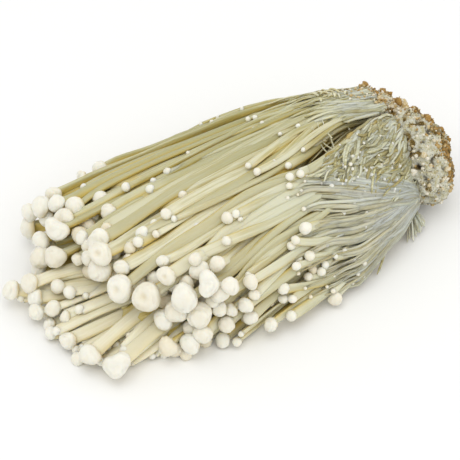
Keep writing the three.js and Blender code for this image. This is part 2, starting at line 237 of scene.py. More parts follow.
# ---------------------------------------------------------------- finishes
@dataclass(frozen=True)
class StemFlesh:
    """Enoki stem, grown in the dark: moist, fibrous, half clear flesh.

    The fibres draw fine lines along the stem. Golden brown is painted shade: it is painted
    into the inside of the bunch, onto the stems' inward sides and into the cleft, standing
    for light that has passed through other stems. The stems are also painted darker
    towards the back, as painted shade.
    """

    pale: str = "#E2DEC6"
    body: str = "#C5BD91"
    shade: str = "#BAA965"
    grey: str = "#BABDA5"
    # The next colour is multiplied in as painted shade, darkening the stems towards the back of the bunch.
    back_shade: str = "#DFE0D0"
    # golden: painted shade colour, mixed in where the deep mask is high, inside the bunch and on inward sides
    golden: str = "#D9BE58"
    # brown and straw: painted shade colours inside the cleft, browner deeper in it
    brown: str = "#C4961A"
    straw: str = "#E2C565"
    cool_pale: str = "#E3E5D6"
    cool_shade: str = "#BDB992"
    cream: str = "#F1ECD6"
    mat: str = "#CFCDBC"
    fibre_mm: float = 0.7
    band_mm: float = 2.5
    fibre_share: float = 0.6
    band_share: float = 0.4
    flesh_stops: Triple = (0.38, 0.49, 0.61)
    inside_stops: Pair = (0.4, 0.62)
    grey_share: float = 0.55
    mat_share: float = 0.7
    ridge_strength: float = 0.5
    ridge_height_m: float = 0.0003
    roughness: float = 0.45
    tone_share: float = 0.28
    light_through: float = 0.4
    light_reach_m: float = 0.0013
    name: str = "enoki_stem_flesh"

    def material(self) -> bpy.types.Material:
        """Build the material."""
        s = Surface(self.name)
        grain = s.node("Attribute", output="Vector", attribute_name="grain")
        names = ("tone", "deep", "cool", "near_cap", "matted", "back_shade", "in_cleft")
        read = {name: s.node("Attribute", output="Fac", attribute_name=name) for name in names}
        fibres = s.node("TexNoise", {"Vector": grain, "Scale": 1 / self.fibre_mm, "Detail": 3.0,
                                     "Roughness": 0.6})
        bands = s.node("TexNoise", {"Vector": grain, "Scale": 1 / self.band_mm, "Detail": 2.0})
        of_fibres = s.node("Math", {0: fibres, 1: self.fibre_share}, operation="MULTIPLY")
        of_bands = s.node("Math", {0: bands, 1: self.band_share}, operation="MULTIPLY")
        shaded = s.node("Math", {0: of_fibres, 1: of_bands}, operation="ADD")
        toned = s.node("Math", {0: read["tone"], 1: 0.5}, operation="SUBTRACT")
        toned = s.node("Math", {0: toned, 1: self.tone_share}, operation="MULTIPLY")
        shaded = s.node("Math", {0: shaded, 1: toned}, operation="ADD", use_clamp=True)
        colours = (self.shade, self.body, self.pale)
        flesh = s.node("ValToRGB", {"Fac": shaded}, stops=list(zip(self.flesh_stops, colours)))
        bright = s.node("Math", {0: read["tone"], 1: 2.0}, operation="MULTIPLY")
        dull = s.node("Math", {0: 1.0, 1: bright}, operation="SUBTRACT", use_clamp=True)
        greyness = s.node("Math", {0: dull, 1: self.grey_share}, operation="MULTIPLY")
        cool_shade, cool_pale = linear(self.cool_shade), linear(self.cool_pale)
        white = s.node("Mix", {SHARE: shaded, FIRST: cool_shade, SECOND: cool_pale}, MIXED, data_type="RGBA")
        outer = ((greyness, linear(self.grey)), (read["cool"], white), (read["near_cap"], linear(self.cream)))
        for share, colour in outer:
            flesh = s.node("Mix", {SHARE: share, FIRST: flesh, SECOND: colour}, MIXED, data_type="RGBA")
        # Painted shade: multiply by the back tint, more towards the back of the bunch.
        flesh = s.node("Mix", {SHARE: read["back_shade"], FIRST: flesh, SECOND: linear(self.back_shade)},
                       MIXED, data_type="RGBA", blend_type="MULTIPLY")
        covered = s.node("Math", {0: read["matted"], 1: self.mat_share}, operation="MULTIPLY")
        colours = (self.brown, self.straw)
        inside = s.node("ValToRGB", {"Fac": shaded}, stops=list(zip(self.inside_stops, colours)))
        # Painted shade: golden where the deep mask is high, brown to straw in the cleft; the mat by the root
        # is its real colour.
        inner = ((read["deep"], linear(self.golden)), (covered, linear(self.mat)), (read["in_cleft"], inside))
        for share, colour in inner:
            flesh = s.node("Mix", {SHARE: share, FIRST: flesh, SECOND: colour}, MIXED, data_type="RGBA")
        ridge = s.node("Bump", {"Height": fibres, "Strength": self.ridge_strength,
                                "Distance": self.ridge_height_m})
        return s.finish(Base_Color=flesh, Roughness=self.roughness, IOR=1.38,
                        Subsurface_Weight=self.light_through,
                        Subsurface_Radius=(1.0, 0.84, 0.5), Subsurface_Scale=self.light_reach_m,
                        Specular_IOR_Level=0.3, Normal=ridge)


@dataclass(frozen=True)
class CapSkin:
    """Enoki cap: smooth moist skin over dense white flesh.

    It reads as cream with a soft highlight; the tan where it rolls under and the golden
    on caps deep in the bunch are painted shade.
    """

    cream: str = "#ECEADE"
    warm: str = "#E6DFCA"
    # under and golden: painted shade colours, for the cap's underside and for caps hidden in the bunch
    under: str = "#DCC788"
    golden: str = "#DCC078"
    clouds_per_mm: float = 0.45
    cloud_share: float = 0.7
    tone_share: float = 0.35
    deep_share: float = 0.6
    pores_per_mm: float = 1.5
    pore_depth_m: float = 0.0004
    roughness: float = 0.38

    def material(self) -> bpy.types.Material:
        """Build the material."""
        s = Surface("enoki_cap_skin")
        grain = s.node("Attribute", output="Vector", attribute_name="grain")
        names = ("tone", "under", "deep")
        read = {name: s.node("Attribute", output="Fac", attribute_name=name) for name in names}
        clouds = s.node("TexNoise", {"Vector": grain, "Scale": self.clouds_per_mm, "Detail": 3.0})
        of_clouds = s.node("Math", {0: clouds, 1: self.cloud_share}, operation="MULTIPLY")
        of_tone = s.node("Math", {0: read["tone"], 1: self.tone_share}, operation="MULTIPLY")
        warmth = s.node("Math", {0: of_clouds, 1: of_tone}, operation="ADD", use_clamp=True)
        skin = s.node("ValToRGB", {"Fac": warmth}, stops=[(0.35, self.cream), (0.95, self.warm)])
        depth = s.node("Math", {0: read["deep"], 1: self.deep_share}, operation="MULTIPLY")
        for share, colour in ((read["under"], self.under), (depth, self.golden)):
            layer = {SHARE: share, FIRST: skin, SECOND: linear(colour)}
            skin = s.node("Mix", layer, MIXED, data_type="RGBA")
        pores = s.node("TexNoise", {"Vector": grain, "Scale": self.pores_per_mm, "Detail": 3.0})
        bump = s.node("Bump", {"Height": pores, "Strength": 0.4, "Distance": self.pore_depth_m})
        return s.finish(Base_Color=skin, Roughness=self.roughness, IOR=1.4, Subsurface_Weight=0.5,
                        Subsurface_Radius=(1.0, 0.88, 0.7), Subsurface_Scale=0.0012,
                        Specular_IOR_Level=0.4, Normal=bump)


@dataclass(frozen=True)
class Mycelium:
    """Mycelium mat: white cottony threads grown over bran and sawdust.

    It reads as chalky white crumbs with tan and brown showing between them, and dark
    specks. Dark is also painted into the pits and the crevice as painted shade, and the
    mat is greyer towards the bottom.
    """

    white: str = "#D7D6C6"
    cream: str = "#B9AE78"
    grey: str = "#A19F8E"
    bran: str = "#8A7236"
    # dark: real specks, and painted shade in the pits
    dark: str = "#3C2F1B"
    clump_mm: float = 1.3
    clump_share: float = 1.2
    bran_from: float = 0.95
    bran_sharpness: float = 3.0
    speck_mm: float = 0.5
    specks_by_stain: float = 0.12
    speck_from: float = 0.58
    speck_sharpness: float = 9.0
    speck_share: float = 0.85
    relief_m: float = 0.0006

    def material(self) -> bpy.types.Material:
        """Build the material."""
        s = Surface("mycelium_mat")
        grain = s.node("Attribute", output="Vector", attribute_name="grain")
        names = ("stain", "pit_shade", "low_grey")
        read = {name: s.node("Attribute", output="Fac", attribute_name=name) for name in names}
        clumps = s.node("TexNoise", {"Vector": grain, "Scale": 1 / self.clump_mm, "Detail": 5.0,
                                     "Roughness": 0.75})
        specks = s.node("TexNoise", {"Vector": grain, "Scale": 1 / self.speck_mm, "Detail": 2.0,
                                     "Roughness": 0.6})
        mat = s.node("ValToRGB", {"Fac": clumps}, stops=[(0.36, self.cream), (0.54, self.white)])
        bran = s.node("Math", {0: clumps, 1: self.clump_share}, operation="MULTIPLY")
        bran = s.node("Math", {0: bran, 1: read["stain"]}, operation="ADD")
        bran = s.node("Math", {0: bran, 1: self.bran_from}, operation="SUBTRACT", use_clamp=True)
        bran = s.node("Math", {0: bran, 1: self.bran_sharpness}, operation="MULTIPLY", use_clamp=True)
        stained = s.node("Math", {0: read["stain"], 1: self.specks_by_stain}, operation="MULTIPLY")
        spot = s.node("Math", {0: specks, 1: stained}, operation="ADD")
        spot = s.node("Math", {0: spot, 1: self.speck_from}, operation="SUBTRACT", use_clamp=True)
        spot = s.node("Math", {0: spot, 1: self.speck_sharpness}, operation="MULTIPLY", use_clamp=True)
        spot = s.node("Math", {0: spot, 1: self.speck_share}, operation="MULTIPLY")
        # Painted shade: the dark colour also fills the pits.
        spot = s.node("Math", {0: spot, 1: read["pit_shade"]}, operation="MAXIMUM")
        for share, colour in ((read["low_grey"], self.grey), (bran, self.bran), (spot, self.dark)):
            layer = {SHARE: share, FIRST: mat, SECOND: linear(colour)}
            mat = s.node("Mix", layer, MIXED, data_type="RGBA")
        grit = s.node("Math", {0: specks, 1: 0.5}, operation="MULTIPLY")
        rough = s.node("Math", {0: clumps, 1: grit}, operation="SUBTRACT")
        bump = s.node("Bump", {"Height": rough, "Strength": 0.8, "Distance": self.relief_m})
        return s.finish(Base_Color=mat, Roughness=0.92, IOR=1.35, Subsurface_Weight=0.1,
                        Subsurface_Radius=(1.0, 0.85, 0.6), Subsurface_Scale=0.001,
                        Sheen_Weight=0.1, Normal=bump)


@dataclass(frozen=True)
class Sawdust:
    """Spent substrate: damp sawdust and bran, crumbled.

    It reads as grains from orange brown to dark brown, some dusted with white.
    """

    grains: tuple[str, ...] = ("#4A3B20", "#84693A", "#A9823F", "#CDB987", "#EEEADC")
    grit_mm: float = 0.5
    tone_share: float = 0.75
    grit_share: float = 0.5
    darker: float = 0.13
    relief_m: float = 0.0004

    def material(self) -> bpy.types.Material:
        """Build the material."""
        s = Surface("sawdust_substrate")
        grain = s.node("Attribute", output="Vector", attribute_name="grain")
        tone = s.node("Attribute", output="Fac", attribute_name="tone")
        grit = s.node("TexNoise", {"Vector": grain, "Scale": 1 / self.grit_mm, "Detail": 4.0})
        of_tone = s.node("Math", {0: tone, 1: self.tone_share}, operation="MULTIPLY")
        of_grit = s.node("Math", {0: grit, 1: self.grit_share}, operation="MULTIPLY")
        mixed = s.node("Math", {0: of_tone, 1: of_grit}, operation="ADD")
        mixed = s.node("Math", {0: mixed, 1: self.darker}, operation="SUBTRACT", use_clamp=True)
        count = len(self.grains) - 1
        stops = [(0.1 + 0.8 * i / count, colour) for i, colour in enumerate(self.grains)]
        colour = s.node("ValToRGB", {"Fac": mixed}, stops=stops)
        bump = s.node("Bump", {"Height": grit, "Strength": 0.7, "Distance": self.relief_m})
        return s.finish(Base_Color=colour, Roughness=0.9, IOR=1.5, Normal=bump)


@dataclass(frozen=True)
class PaleTop:
    """Painted table top: even, near white and matt."""

    colour: str = "#F4F4F2"
    cloud: str = "#E8E8E6"
    clouds_per_m: float = 3.0
    cloud_share: float = 0.06

    def material(self) -> bpy.types.Material:
        """Build the material."""
        s = Surface("white_table_top")
        clouds = s.node("TexNoise", {"Scale": self.clouds_per_m, "Detail": 2.0})
        share = s.node("Math", {0: clouds, 1: self.cloud_share}, operation="MULTIPLY")
        tint = s.node("Mix", {SHARE: share, FIRST: linear(self.colour), SECOND: linear(self.cloud)},
                      MIXED, data_type="RGBA")
        return s.finish(Base_Color=tint, Roughness=0.7)


# ---------------------------------------------------------------- where the camera stands
@dataclass(frozen=True)
class Viewpoint:
    """The camera's place, and the points that are seen at places in its picture.

    Picture places are in pixels from the top left corner of a square picture.
    """

    azimuth_deg: float = -28.0
    elevation_deg: float = 48.0
    distance_mm: float = 520.0
    target_mm: Triple = (-66.0, -8.0, 15.0)
    target_across_px: float = 232.0
    target_down_px: float = 228.0
    px_per_mm: float = 3.2
    picture_px: float = 460.0
    sensor_mm: float = 36.0

    def axes(self) -> tuple[Array, Array, Array]:
        """Give the picture's right, its up and the way back to the camera."""
        a, e = math.radians(self.azimuth_deg), math.radians(self.elevation_deg)
        back = np.array([math.sin(a) * math.cos(e), -math.cos(a) * math.cos(e), math.sin(e)])
        right = np.array([math.cos(a), math.sin(a), 0.0])
        return right, np.cross(back, right), back

    def place(self, across_px: float, down_px: float, height_mm: float) -> Array:
        """Find the point at a height that is seen at a place in the picture.

        Args:
            across_px: Distance from the picture's left edge.
            down_px: Distance from its top edge.
            height_mm: The point's height over the floor.

        Returns:
            The point, in millimetres.
        """
        right, up, back = self.axes()
        eye = np.array(self.target_mm) + back * self.distance_mm
        focal_px = self.px_per_mm * self.distance_mm
        aside = right * (across_px - self.target_across_px) - up * (down_px - self.target_down_px)
        ray = aside / focal_px - back
        return eye + ray * ((height_mm - eye[2]) / ray[2])

    def add_camera(self) -> bpy.types.Object:
        """Make the scene's camera at this place.

        Returns:
            The camera.
        """
        right, up, back = self.axes()
        middle_px = self.picture_px / 2
        aside = right * (middle_px - self.target_across_px) - up * (middle_px - self.target_down_px)
        target = np.array(self.target_mm) + aside / self.px_per_mm
        data = bpy.data.cameras.new("camera")
        data.sensor_width = self.sensor_mm
        data.lens = self.sensor_mm * self.px_per_mm * self.distance_mm / self.picture_px
        data.clip_start = 0.01
        camera = bpy.data.objects.new("camera", data)
        camera.location = Vector((target + back * self.distance_mm) * MM)
        camera.rotation_euler = Vector(back).to_track_quat("Z", "Y").to_euler()
        bpy.context.scene.collection.objects.link(camera)
        bpy.context.scene.camera = camera
        return camera


# ---------------------------------------------------------------- the bunch's form
@dataclass(frozen=True)
class BunchForm:
    """How wide and how high the bunch is along its length.

    Most stems keep nearly the same share of the width and of the height all the
    way from the root, so they lie side by side. Those of the fan and the front
    open out on their way.
    """

    station_mm: tuple[float, ...] = (-9, -24, -40, -60, -80, -100, -118, -136)
    back_mm: tuple[float, ...] = (25, 35, 41, 44.5, 48, 52, 55, 58)
    front_mm: tuple[float, ...] = (-21.5, -30.5, -36.5, -41.5, -48, -54, -59, -63)
    share: tuple[float, ...] = (-1, -0.75, -0.4, 0, 0.5, 0.8, 1)
    top_mm: tuple[tuple[float, ...], ...] = (
        (12, 23, 31, 30, 29, 24.5, 15),
        (9, 25, 33, 33.5, 29.5, 22.5, 13.5),
        (7, 25, 34, 35, 29.5, 21, 12.5),
        (6, 24, 33.5, 33, 26.5, 16, 7),
        (5, 17, 29.5, 31, 24, 13.5, 5),
        (5, 10, 24, 26, 20.5, 9.5, 4),
        (4, 7, 15, 21, 17, 8, 4),
        (4, 6, 13, 19, 15, 8, 4),
    )
    cleft_share: float = -0.29
    cleft_root_share: float = 0.05
    cleft_end_mm: float = -52.0
    cleft_widest_mm: float = -28.0
    cleft_half_length_mm: float = 12.0
    cleft_opening: float = 0.12
    cleft_fade: float = 0.22
    cleft_width_mm: float = 5.2
    cleft_floor_mm: float = 14.0
    cleft_height_mm: float = 25.0
    cleft_slant: float = 0.5
    lip_rise_mm: float = 1.5
    lip_drop_mm: float = 3.5
    side_station_mm: tuple[float, ...] = (60, 85, 98, 106, 113, 136)
    side_back_mm: tuple[float, ...] = (38, 35.5, 34, 31, 29.5, 25)
    side_front_mm: float = -37.5

    def middle_and_half(self, x: Array) -> tuple[Array, Array]:
        """Give the middle and half of the bunch's width at places along it."""
        along = -np.asarray(self.station_mm)
        back = np.interp(-x, along, self.back_mm)
        front = np.interp(-x, along, self.front_mm)
        return (back + front) / 2, (back - front) / 2

    def side_back(self, x: Array) -> Array:
        """Give how far back stems reach at places along the bunch."""
        return np.interp(-x, self.side_station_mm, self.side_back_mm)

    def top(self, x: Array, share: Array) -> Array:
        """Give the height of the bunch's upper side.

        Args:
            x: Places along the bunch.
            share: Shares of the width there, from -1 to 1, shaped as x.

        Returns:
            Heights in millimetres, shaped as x.
        """
        along = -np.asarray(self.station_mm)
        row = np.interp(-x, along, np.arange(len(along)))
        column = np.interp(share, self.share, np.arange(len(self.share)))
        return read_grid(np.asarray(self.top_mm, float), row, column)

    def share_at(self, kept: Array, x: Array) -> Array:
        """Find the share of the width that a stem has on its way.

        The stems on either side of the cleft part round it and close again.

        Args:
            kept: The share that the stem keeps beyond the cleft.
            x: Places along the bunch, shaped as kept.

        Returns:
            The share at each place.
        """
        side = np.where(kept < self.cleft_share, -1.0, 1.0)
        opening = self.cleft_opening * self.parting(x)
        return self.follow(kept, x) + side * opening * self.by_cleft(kept)

    def follow(self, kept: Array, x: Array) -> Array:
        """Give a stem's share of the width on its way, were there no cleft."""
        c, r = self.cleft_share, self.cleft_root_share
        at_root = np.interp(kept, (-1, c - 0.02, c + 0.02, 1), (-1, r - 0.02, r + 0.02, 1))
        return kept + (at_root - kept) * smooth_step(self.cleft_end_mm, -9.0, x)

    def parting(self, x: Array) -> Array:
        """Give how far open the cleft is along the bunch, 1 at its widest."""
        return np.exp(-(((x - self.cleft_widest_mm) / self.cleft_half_length_mm) ** 2))

    def by_cleft(self, kept: Array) -> Array:
        """Give how near a stem is to the cleft, 1 at its edge."""
        return np.exp(-np.abs(kept - self.cleft_share) / self.cleft_fade)

    def near_cleft(self, kept: Array, x: Array) -> Array:
        """Give how near a stem is to the open cleft on its way, 1 at the edge where it is widest."""
        return self.parting(x) * self.by_cleft(kept)

    def lip(self, kept: Array) -> Array:
        """Give how far the cleft's edge on a stem's side stands over the bunch's upper side."""
        return np.where(kept < self.cleft_share, -self.lip_drop_mm, self.lip_rise_mm)

    def cleft_middle(self, x: Array, z: Array) -> Array:
        """Give the Y of the cleft's middle, which leans forward with height."""
        middle, half = self.middle_and_half(x)
        share = self.follow(np.full(x.shape, self.cleft_share), x)
        return middle + share * half + self.cleft_slant * (self.cleft_height_mm - z)

    def in_cleft(self, points: Array) -> Array:
        """Measure how deep in the cleft points are, from 0 to 1.

        Args:
            points: Points by x, y, z.

        Returns:
            One value for each point.
        """
        x, y, z = points.T
        aside = np.abs(y - self.cleft_middle(x, z)) - 0.5 * self.cleft_width_mm * self.parting(x)
        beside = smooth_step(3.0, 0.6, aside) * smooth_step(0.1, 0.5, self.parting(x))
        return beside * smooth_step(28.0, 20.0, z)

    def roof(self, x: float, y: float) -> float:
        """Give the height of the bunch's upper side over a point of the floor."""
        across = np.array([x])
        middle, half = self.middle_and_half(across)
        share = np.clip((y - middle) / half, -1, 1)
        kept = np.array([self.kept_share(share[0], x)])
        return float((self.top(across, share) + self.lip(kept) * self.near_cleft(kept, across))[0])

    def kept_share(self, share: float, x: float) -> float:
        """Find the share kept beyond the cleft by a stem with a share of the width at x."""
        grid = np.linspace(-1.1, 1.1, 221)
        return float(np.interp(share, self.share_at(grid, np.full(221, x)), grid))

    def shares(self, point: Array) -> Pair:
        """Find the shares of width and height that lead a stem to a point.

        Args:
            point: Where the stem ends.

        Returns:
            Its kept share of the width, from -1 to 1, and its share of the height.
        """
        middle, half = self.middle_and_half(point[:1])
        here = float(np.clip((point[1] - middle[0]) / half[0], -1.1, 1.1))
        kept = self.kept_share(here, point[0])
        return kept, float(point[2] / self.top(point[:1], np.array([here]))[0])

    def lines(self, ends: Array, roots: Array, end_x: Array, opens_mm: Array,
              start_x: float, count: int) -> Array:
        """Lay the stems' middle lines from the root to where they end.

        Args:
            ends: Each stem's kept shares of width and height.
            roots: Its shares at the root.
            end_x: Where each stem ends.
            opens_mm: From where to where along the bunch each stem goes over from one to the other.
            start_x: Where all stems start.
            count: Points on each line.

        Returns:
            An array of stems by points by x, y, z.
        """
        t = np.linspace(0, 1, count)
        x = start_x + (end_x[:, None] - start_x) * t
        begin, finish = opens_mm[:, :1], np.maximum(opens_mm[:, 1:], end_x[:, None])
        opened = np.clip((x - begin) / np.minimum(finish - begin, -1), 0, 1)
        kept = roots[:, :1] + (ends[:, :1] - roots[:, :1]) * opened
        high = roots[:, 1:] + (ends[:, 1:] - roots[:, 1:]) * opened
        share = self.share_at(kept, x)
        middle, half = self.middle_and_half(x)
        near = self.near_cleft(kept, x)
        z = high * (self.top(x, share) + self.lip(kept) * near)
        y = middle + share * half + self.cleft_slant * (self.cleft_height_mm - z) * near
        lines = np.stack([x, y, z], -1)
        relax(lines, 4)
        return lines


class CapForm(Enum):
    """The forms that caps grow to."""

    BUTTON = "button"
    BALL = "ball"
    DIMPLED = "dimpled"
    CUPPED = "cupped"
    LOBED = "lobed"


class Part(Enum):
    """The parts of the bunch that mushrooms belong to."""

    BACK = "back"
    MIDDLE = "middle"
    FRONT = "front"
    TOP = "top"
    FAN = "fan"
    INSIDE = "inside"


@dataclass(frozen=True)
class Cap:
    """One cap that shows: its place in the picture, its height and its width."""

    across_px: float
    down_px: float
    height_mm: float
    width_mm: float
    turn: float = 0.5
    form: CapForm = CapForm.BUTTON


BALL, DIMPLED, CUPPED, LOBED = CapForm.BALL, CapForm.DIMPLED, CapForm.CUPPED, CapForm.LOBED
# Caps that show, by the part of the bunch they end. The first of each part are
# the single mushrooms, in the order of their names; the rest belong to the tufts.
SHOWN: dict[Part, tuple[Cap, ...]] = {
    Part.BACK: (
        Cap(53, 195, 16, 4.9), Cap(29, 213, 13, 5.0, 0.3), Cap(27, 228, 10, 7.0, 0.05),
        Cap(74, 208, 20, 6.2, 0.3), Cap(57, 230, 18, 6.4, 0.6, LOBED), Cap(40, 257, 11, 6.3, 0.6),
        Cap(100, 199, 22, 4.8, 0.8, BALL), Cap(99, 169, 16, 4.7, 0.8, BALL),
        Cap(80, 179, 16, 5.4, 0.1, CUPPED), Cap(41, 206, 15, 6.0, 0.2), Cap(57, 203, 18, 5.0, 0.7),
        Cap(63, 218, 20, 6.0, 0.7, LOBED), Cap(40, 241, 14, 5.4, 0.5), Cap(55, 257, 13, 6.2, 0.4),
        Cap(37, 270, 8, 4.8, 0.5), Cap(82, 238, 20, 4.0, 0.6), Cap(108, 212, 22, 4.6, 0.6),
        Cap(84, 187, 18, 2.0), Cap(92, 215, 19, 3.8, 0.5), Cap(47, 248, 12, 5.0, 0.4),
        Cap(46, 219, 13, 5.0, 0.4), Cap(52, 271, 6, 4.2, 0.2), Cap(77, 260, 15, 3.6, 0.3)),
    Part.MIDDLE: (
        Cap(97, 240, 24, 6.6, 0.6, LOBED), Cap(101, 253, 22, 7.0, 0.6, DIMPLED),
        Cap(121, 268, 22, 4.8, 0.5), Cap(119, 289, 20, 8.0, 0.7, DIMPLED),
        Cap(146, 297, 20, 8.6, 0.8, DIMPLED), Cap(166, 276, 25, 5.4, 0.9, DIMPLED),
        Cap(184, 298, 20, 8.0, 0.7), Cap(199, 271, 27, 5.6, 0.7), Cap(208, 283, 24, 6.8, 0.5, LOBED),
        Cap(199, 316, 14, 7.6, 0.6), Cap(189, 344, 5, 6.2, 0.7), Cap(230, 285, 23, 5.2, 0.4),
        Cap(99, 270, 17, 7.6, 0.15), Cap(87, 246, 20, 3.8), Cap(88, 258, 19, 4.8), Cap(162, 261, 27, 3.7),
        Cap(146, 267, 21, 5.2, 0.6), Cap(160, 290, 17, 5.0), Cap(195, 259, 28, 3.8),
        Cap(217, 264, 27, 4.8, 0.6), Cap(219, 292, 21, 6.0, 0.4), Cap(176, 312, 14, 6.4, 0.5),
        Cap(163, 320, 10, 6.0, 0.4), Cap(190, 328, 8, 4.6), Cap(203, 334, 7, 5.8, 0.6),
        Cap(219, 309, 15, 4.6, 0.5), Cap(230, 310, 13, 4.2, 0.2), Cap(226, 325, 9, 5.0, 0.7),
        Cap(222, 340, 3, 4.6, 0.3), Cap(237, 342, 3, 2.8), Cap(212, 301, 17, 4.0), Cap(186, 285, 20, 5.0),
        Cap(138, 281, 16, 5.0, 0.4), Cap(155, 279, 19, 5.0, 0.5), Cap(173, 286, 19, 4.2, 0.5),
        Cap(204, 302, 15, 4.4, 0.4)),
    Part.FRONT: (
        Cap(250, 282, 22, 4.8, 0.6), Cap(270, 325, 6, 4.6, 0.7), Cap(283, 289, 13, 3.8, 0.6),
        Cap(309, 256, 19, 3.4, 0.3), Cap(305, 228, 28, 4.0, 0.3), Cap(335, 299, 4, 4.6, 0.6),
        Cap(254, 295, 18, 3.7), Cap(245, 306, 15, 4.8, 0.6), Cap(250, 318, 10, 4.6, 0.6),
        Cap(291, 316, 6, 3.4), Cap(284, 276, 16, 3.4, 0.7), Cap(283, 299, 10, 3.2), Cap(292, 299, 10, 2.8),
        Cap(296, 266, 18, 2.8), Cap(299, 259, 19, 2.6), Cap(308, 277, 14, 2.9), Cap(321, 272, 14, 2.9),
        Cap(325, 265, 15, 2.6), Cap(334, 276, 12, 2.1), Cap(259, 247, 29, 3.1), Cap(291, 246, 25, 2.8),
        Cap(295, 240, 26, 2.9), Cap(344, 251, 20, 1.8), Cap(335, 256, 18, 1.7), Cap(360, 231, 24, 1.6),
        Cap(248, 275, 24, 2.0), Cap(333, 291, 8, 1.8), Cap(241, 334, 6, 2.0)),
    Part.TOP: (
        Cap(126, 187, 24, 3.0, 0.9, BALL), Cap(182, 195, 30, 3.0, 0.9, BALL),
        Cap(166, 214, 30, 3.5, 0.8, BALL), Cap(142, 233, 27, 4.1, 0.7), Cap(227, 218, 33, 3.7, 0.8),
        Cap(257, 172, 34, 2.5, 0.9, BALL), Cap(304, 190, 34, 2.6, 0.9, BALL),
        Cap(150, 189, 27, 2.9, 0.8, BALL), Cap(153, 181, 26, 2.3), Cap(167, 172, 26, 3.1),
        Cap(174, 219, 29, 2.1), Cap(154, 224, 28, 3.0), Cap(156, 234, 27, 2.5), Cap(138, 242, 24, 3.4),
        Cap(197, 227, 31, 3.1), Cap(236, 214, 33, 2.6), Cap(226, 241, 30, 3.0), Cap(188, 153, 26, 1.5),
        Cap(223, 172, 31, 1.6), Cap(229, 172, 31, 1.4), Cap(248, 166, 34, 2.0), Cap(288, 166, 35, 2.2),
        Cap(289, 177, 35, 2.5), Cap(289, 186, 34, 2.2), Cap(299, 173, 36, 2.6), Cap(331, 186, 33, 1.9),
        Cap(340, 178, 34, 2.3), Cap(317, 209, 32, 2.0), Cap(343, 213, 30, 2.1), Cap(347, 203, 31, 2.5),
        Cap(240, 219, 33, 1.6), Cap(248, 119, 30, 1.7), Cap(255, 117.5, 30, 1.8), Cap(254, 129, 32, 1.8),
        Cap(262, 123, 31, 1.6), Cap(298, 126, 33, 1.6), Cap(315, 113.5, 32, 1.4), Cap(280, 134, 34, 1.4),
        Cap(242, 109, 27, 1.5), Cap(218, 117.5, 27, 1.6), Cap(212, 122, 27, 1.7), Cap(201, 124, 26, 1.5),
        Cap(274, 162, 35, 1.8), Cap(303, 150, 35, 1.5)),
    Part.FAN: (
        Cap(10, 290, 7, 5.6, 0.3), Cap(35, 298, 6, 5.2, 0.5), Cap(58, 286, 9, 4.2, 0.8, BALL),
        Cap(36, 312, 4.5, 4.8, 0.6), Cap(67, 341, 4, 5.2, 0.3), Cap(90, 355, 4.6, 6.0, 0.5),
        Cap(117, 365, 5, 7.4, 0.5, LOBED), Cap(30, 283, 8, 5.6, 0.4), Cap(70, 292, 9, 3.8, 0.8, BALL),
        Cap(53, 308, 6, 4.8, 0.5), Cap(65, 317, 5, 3.6), Cap(80, 309, 7, 2.8), Cap(48, 325, 3.4, 4.2, 0.3),
        Cap(77, 359, 2.6, 4.2, 0.4), Cap(76, 324, 4, 3.0), Cap(50, 333, 3, 3.8), Cap(57, 331, 4, 2.6),
        Cap(75, 350, 3.4, 2.6), Cap(84, 357, 4, 2.6), Cap(101, 362, 4, 2.6), Cap(128, 359, 4, 2.8),
        Cap(107, 366, 4, 2.8), Cap(124, 350, 5, 2.6), Cap(62, 338, 4, 2.4)),
}
# How many mushrooms of each part are pieces of their own.
SINGLES = {Part.BACK: 9, Part.MIDDLE: 12, Part.FRONT: 6, Part.TOP: 7, Part.FAN: 7}


# ---------------------------------------------------------------- mushrooms
@dataclass
class Mushroom:
    """One mushroom: where its cap is and how its stem is drawn."""

    part: Part
    end: Array
    width_mm: float
    turn: float
    form: CapForm
    across: float
    up: float
    shown: bool
    node: str = ""
    root: Pair = (0.0, 0.0)
    opens_mm: Pair = (-10.0, -60.0)
    radius_mm: float = 1.3
    flat: float = 0.3
    outer: bool = False
    number: int = 0


@dataclass(frozen=True)
class TuftPlace:
    """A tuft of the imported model, by its shares of width and height."""

    node: str
    across: float
    up: float


TUFTS = (
    TuftPlace("tuft_floor_fan", -0.25, 0.1), TuftPlace("tuft_back_upper", 0.46, 0.78),
    TuftPlace("tuft_top_middle", -0.2, 0.85), TuftPlace("tuft_middle", -0.55, 0.85),
    TuftPlace("tuft_front", -0.8, 0.6), TuftPlace("tuft_front_low", -0.88, 0.25),
    TuftPlace("tuft_back_edge", 0.83, 0.5), TuftPlace("tuft_back_low", 0.41, 0.24),
    TuftPlace("tuft_core", -0.3, 0.4),
)


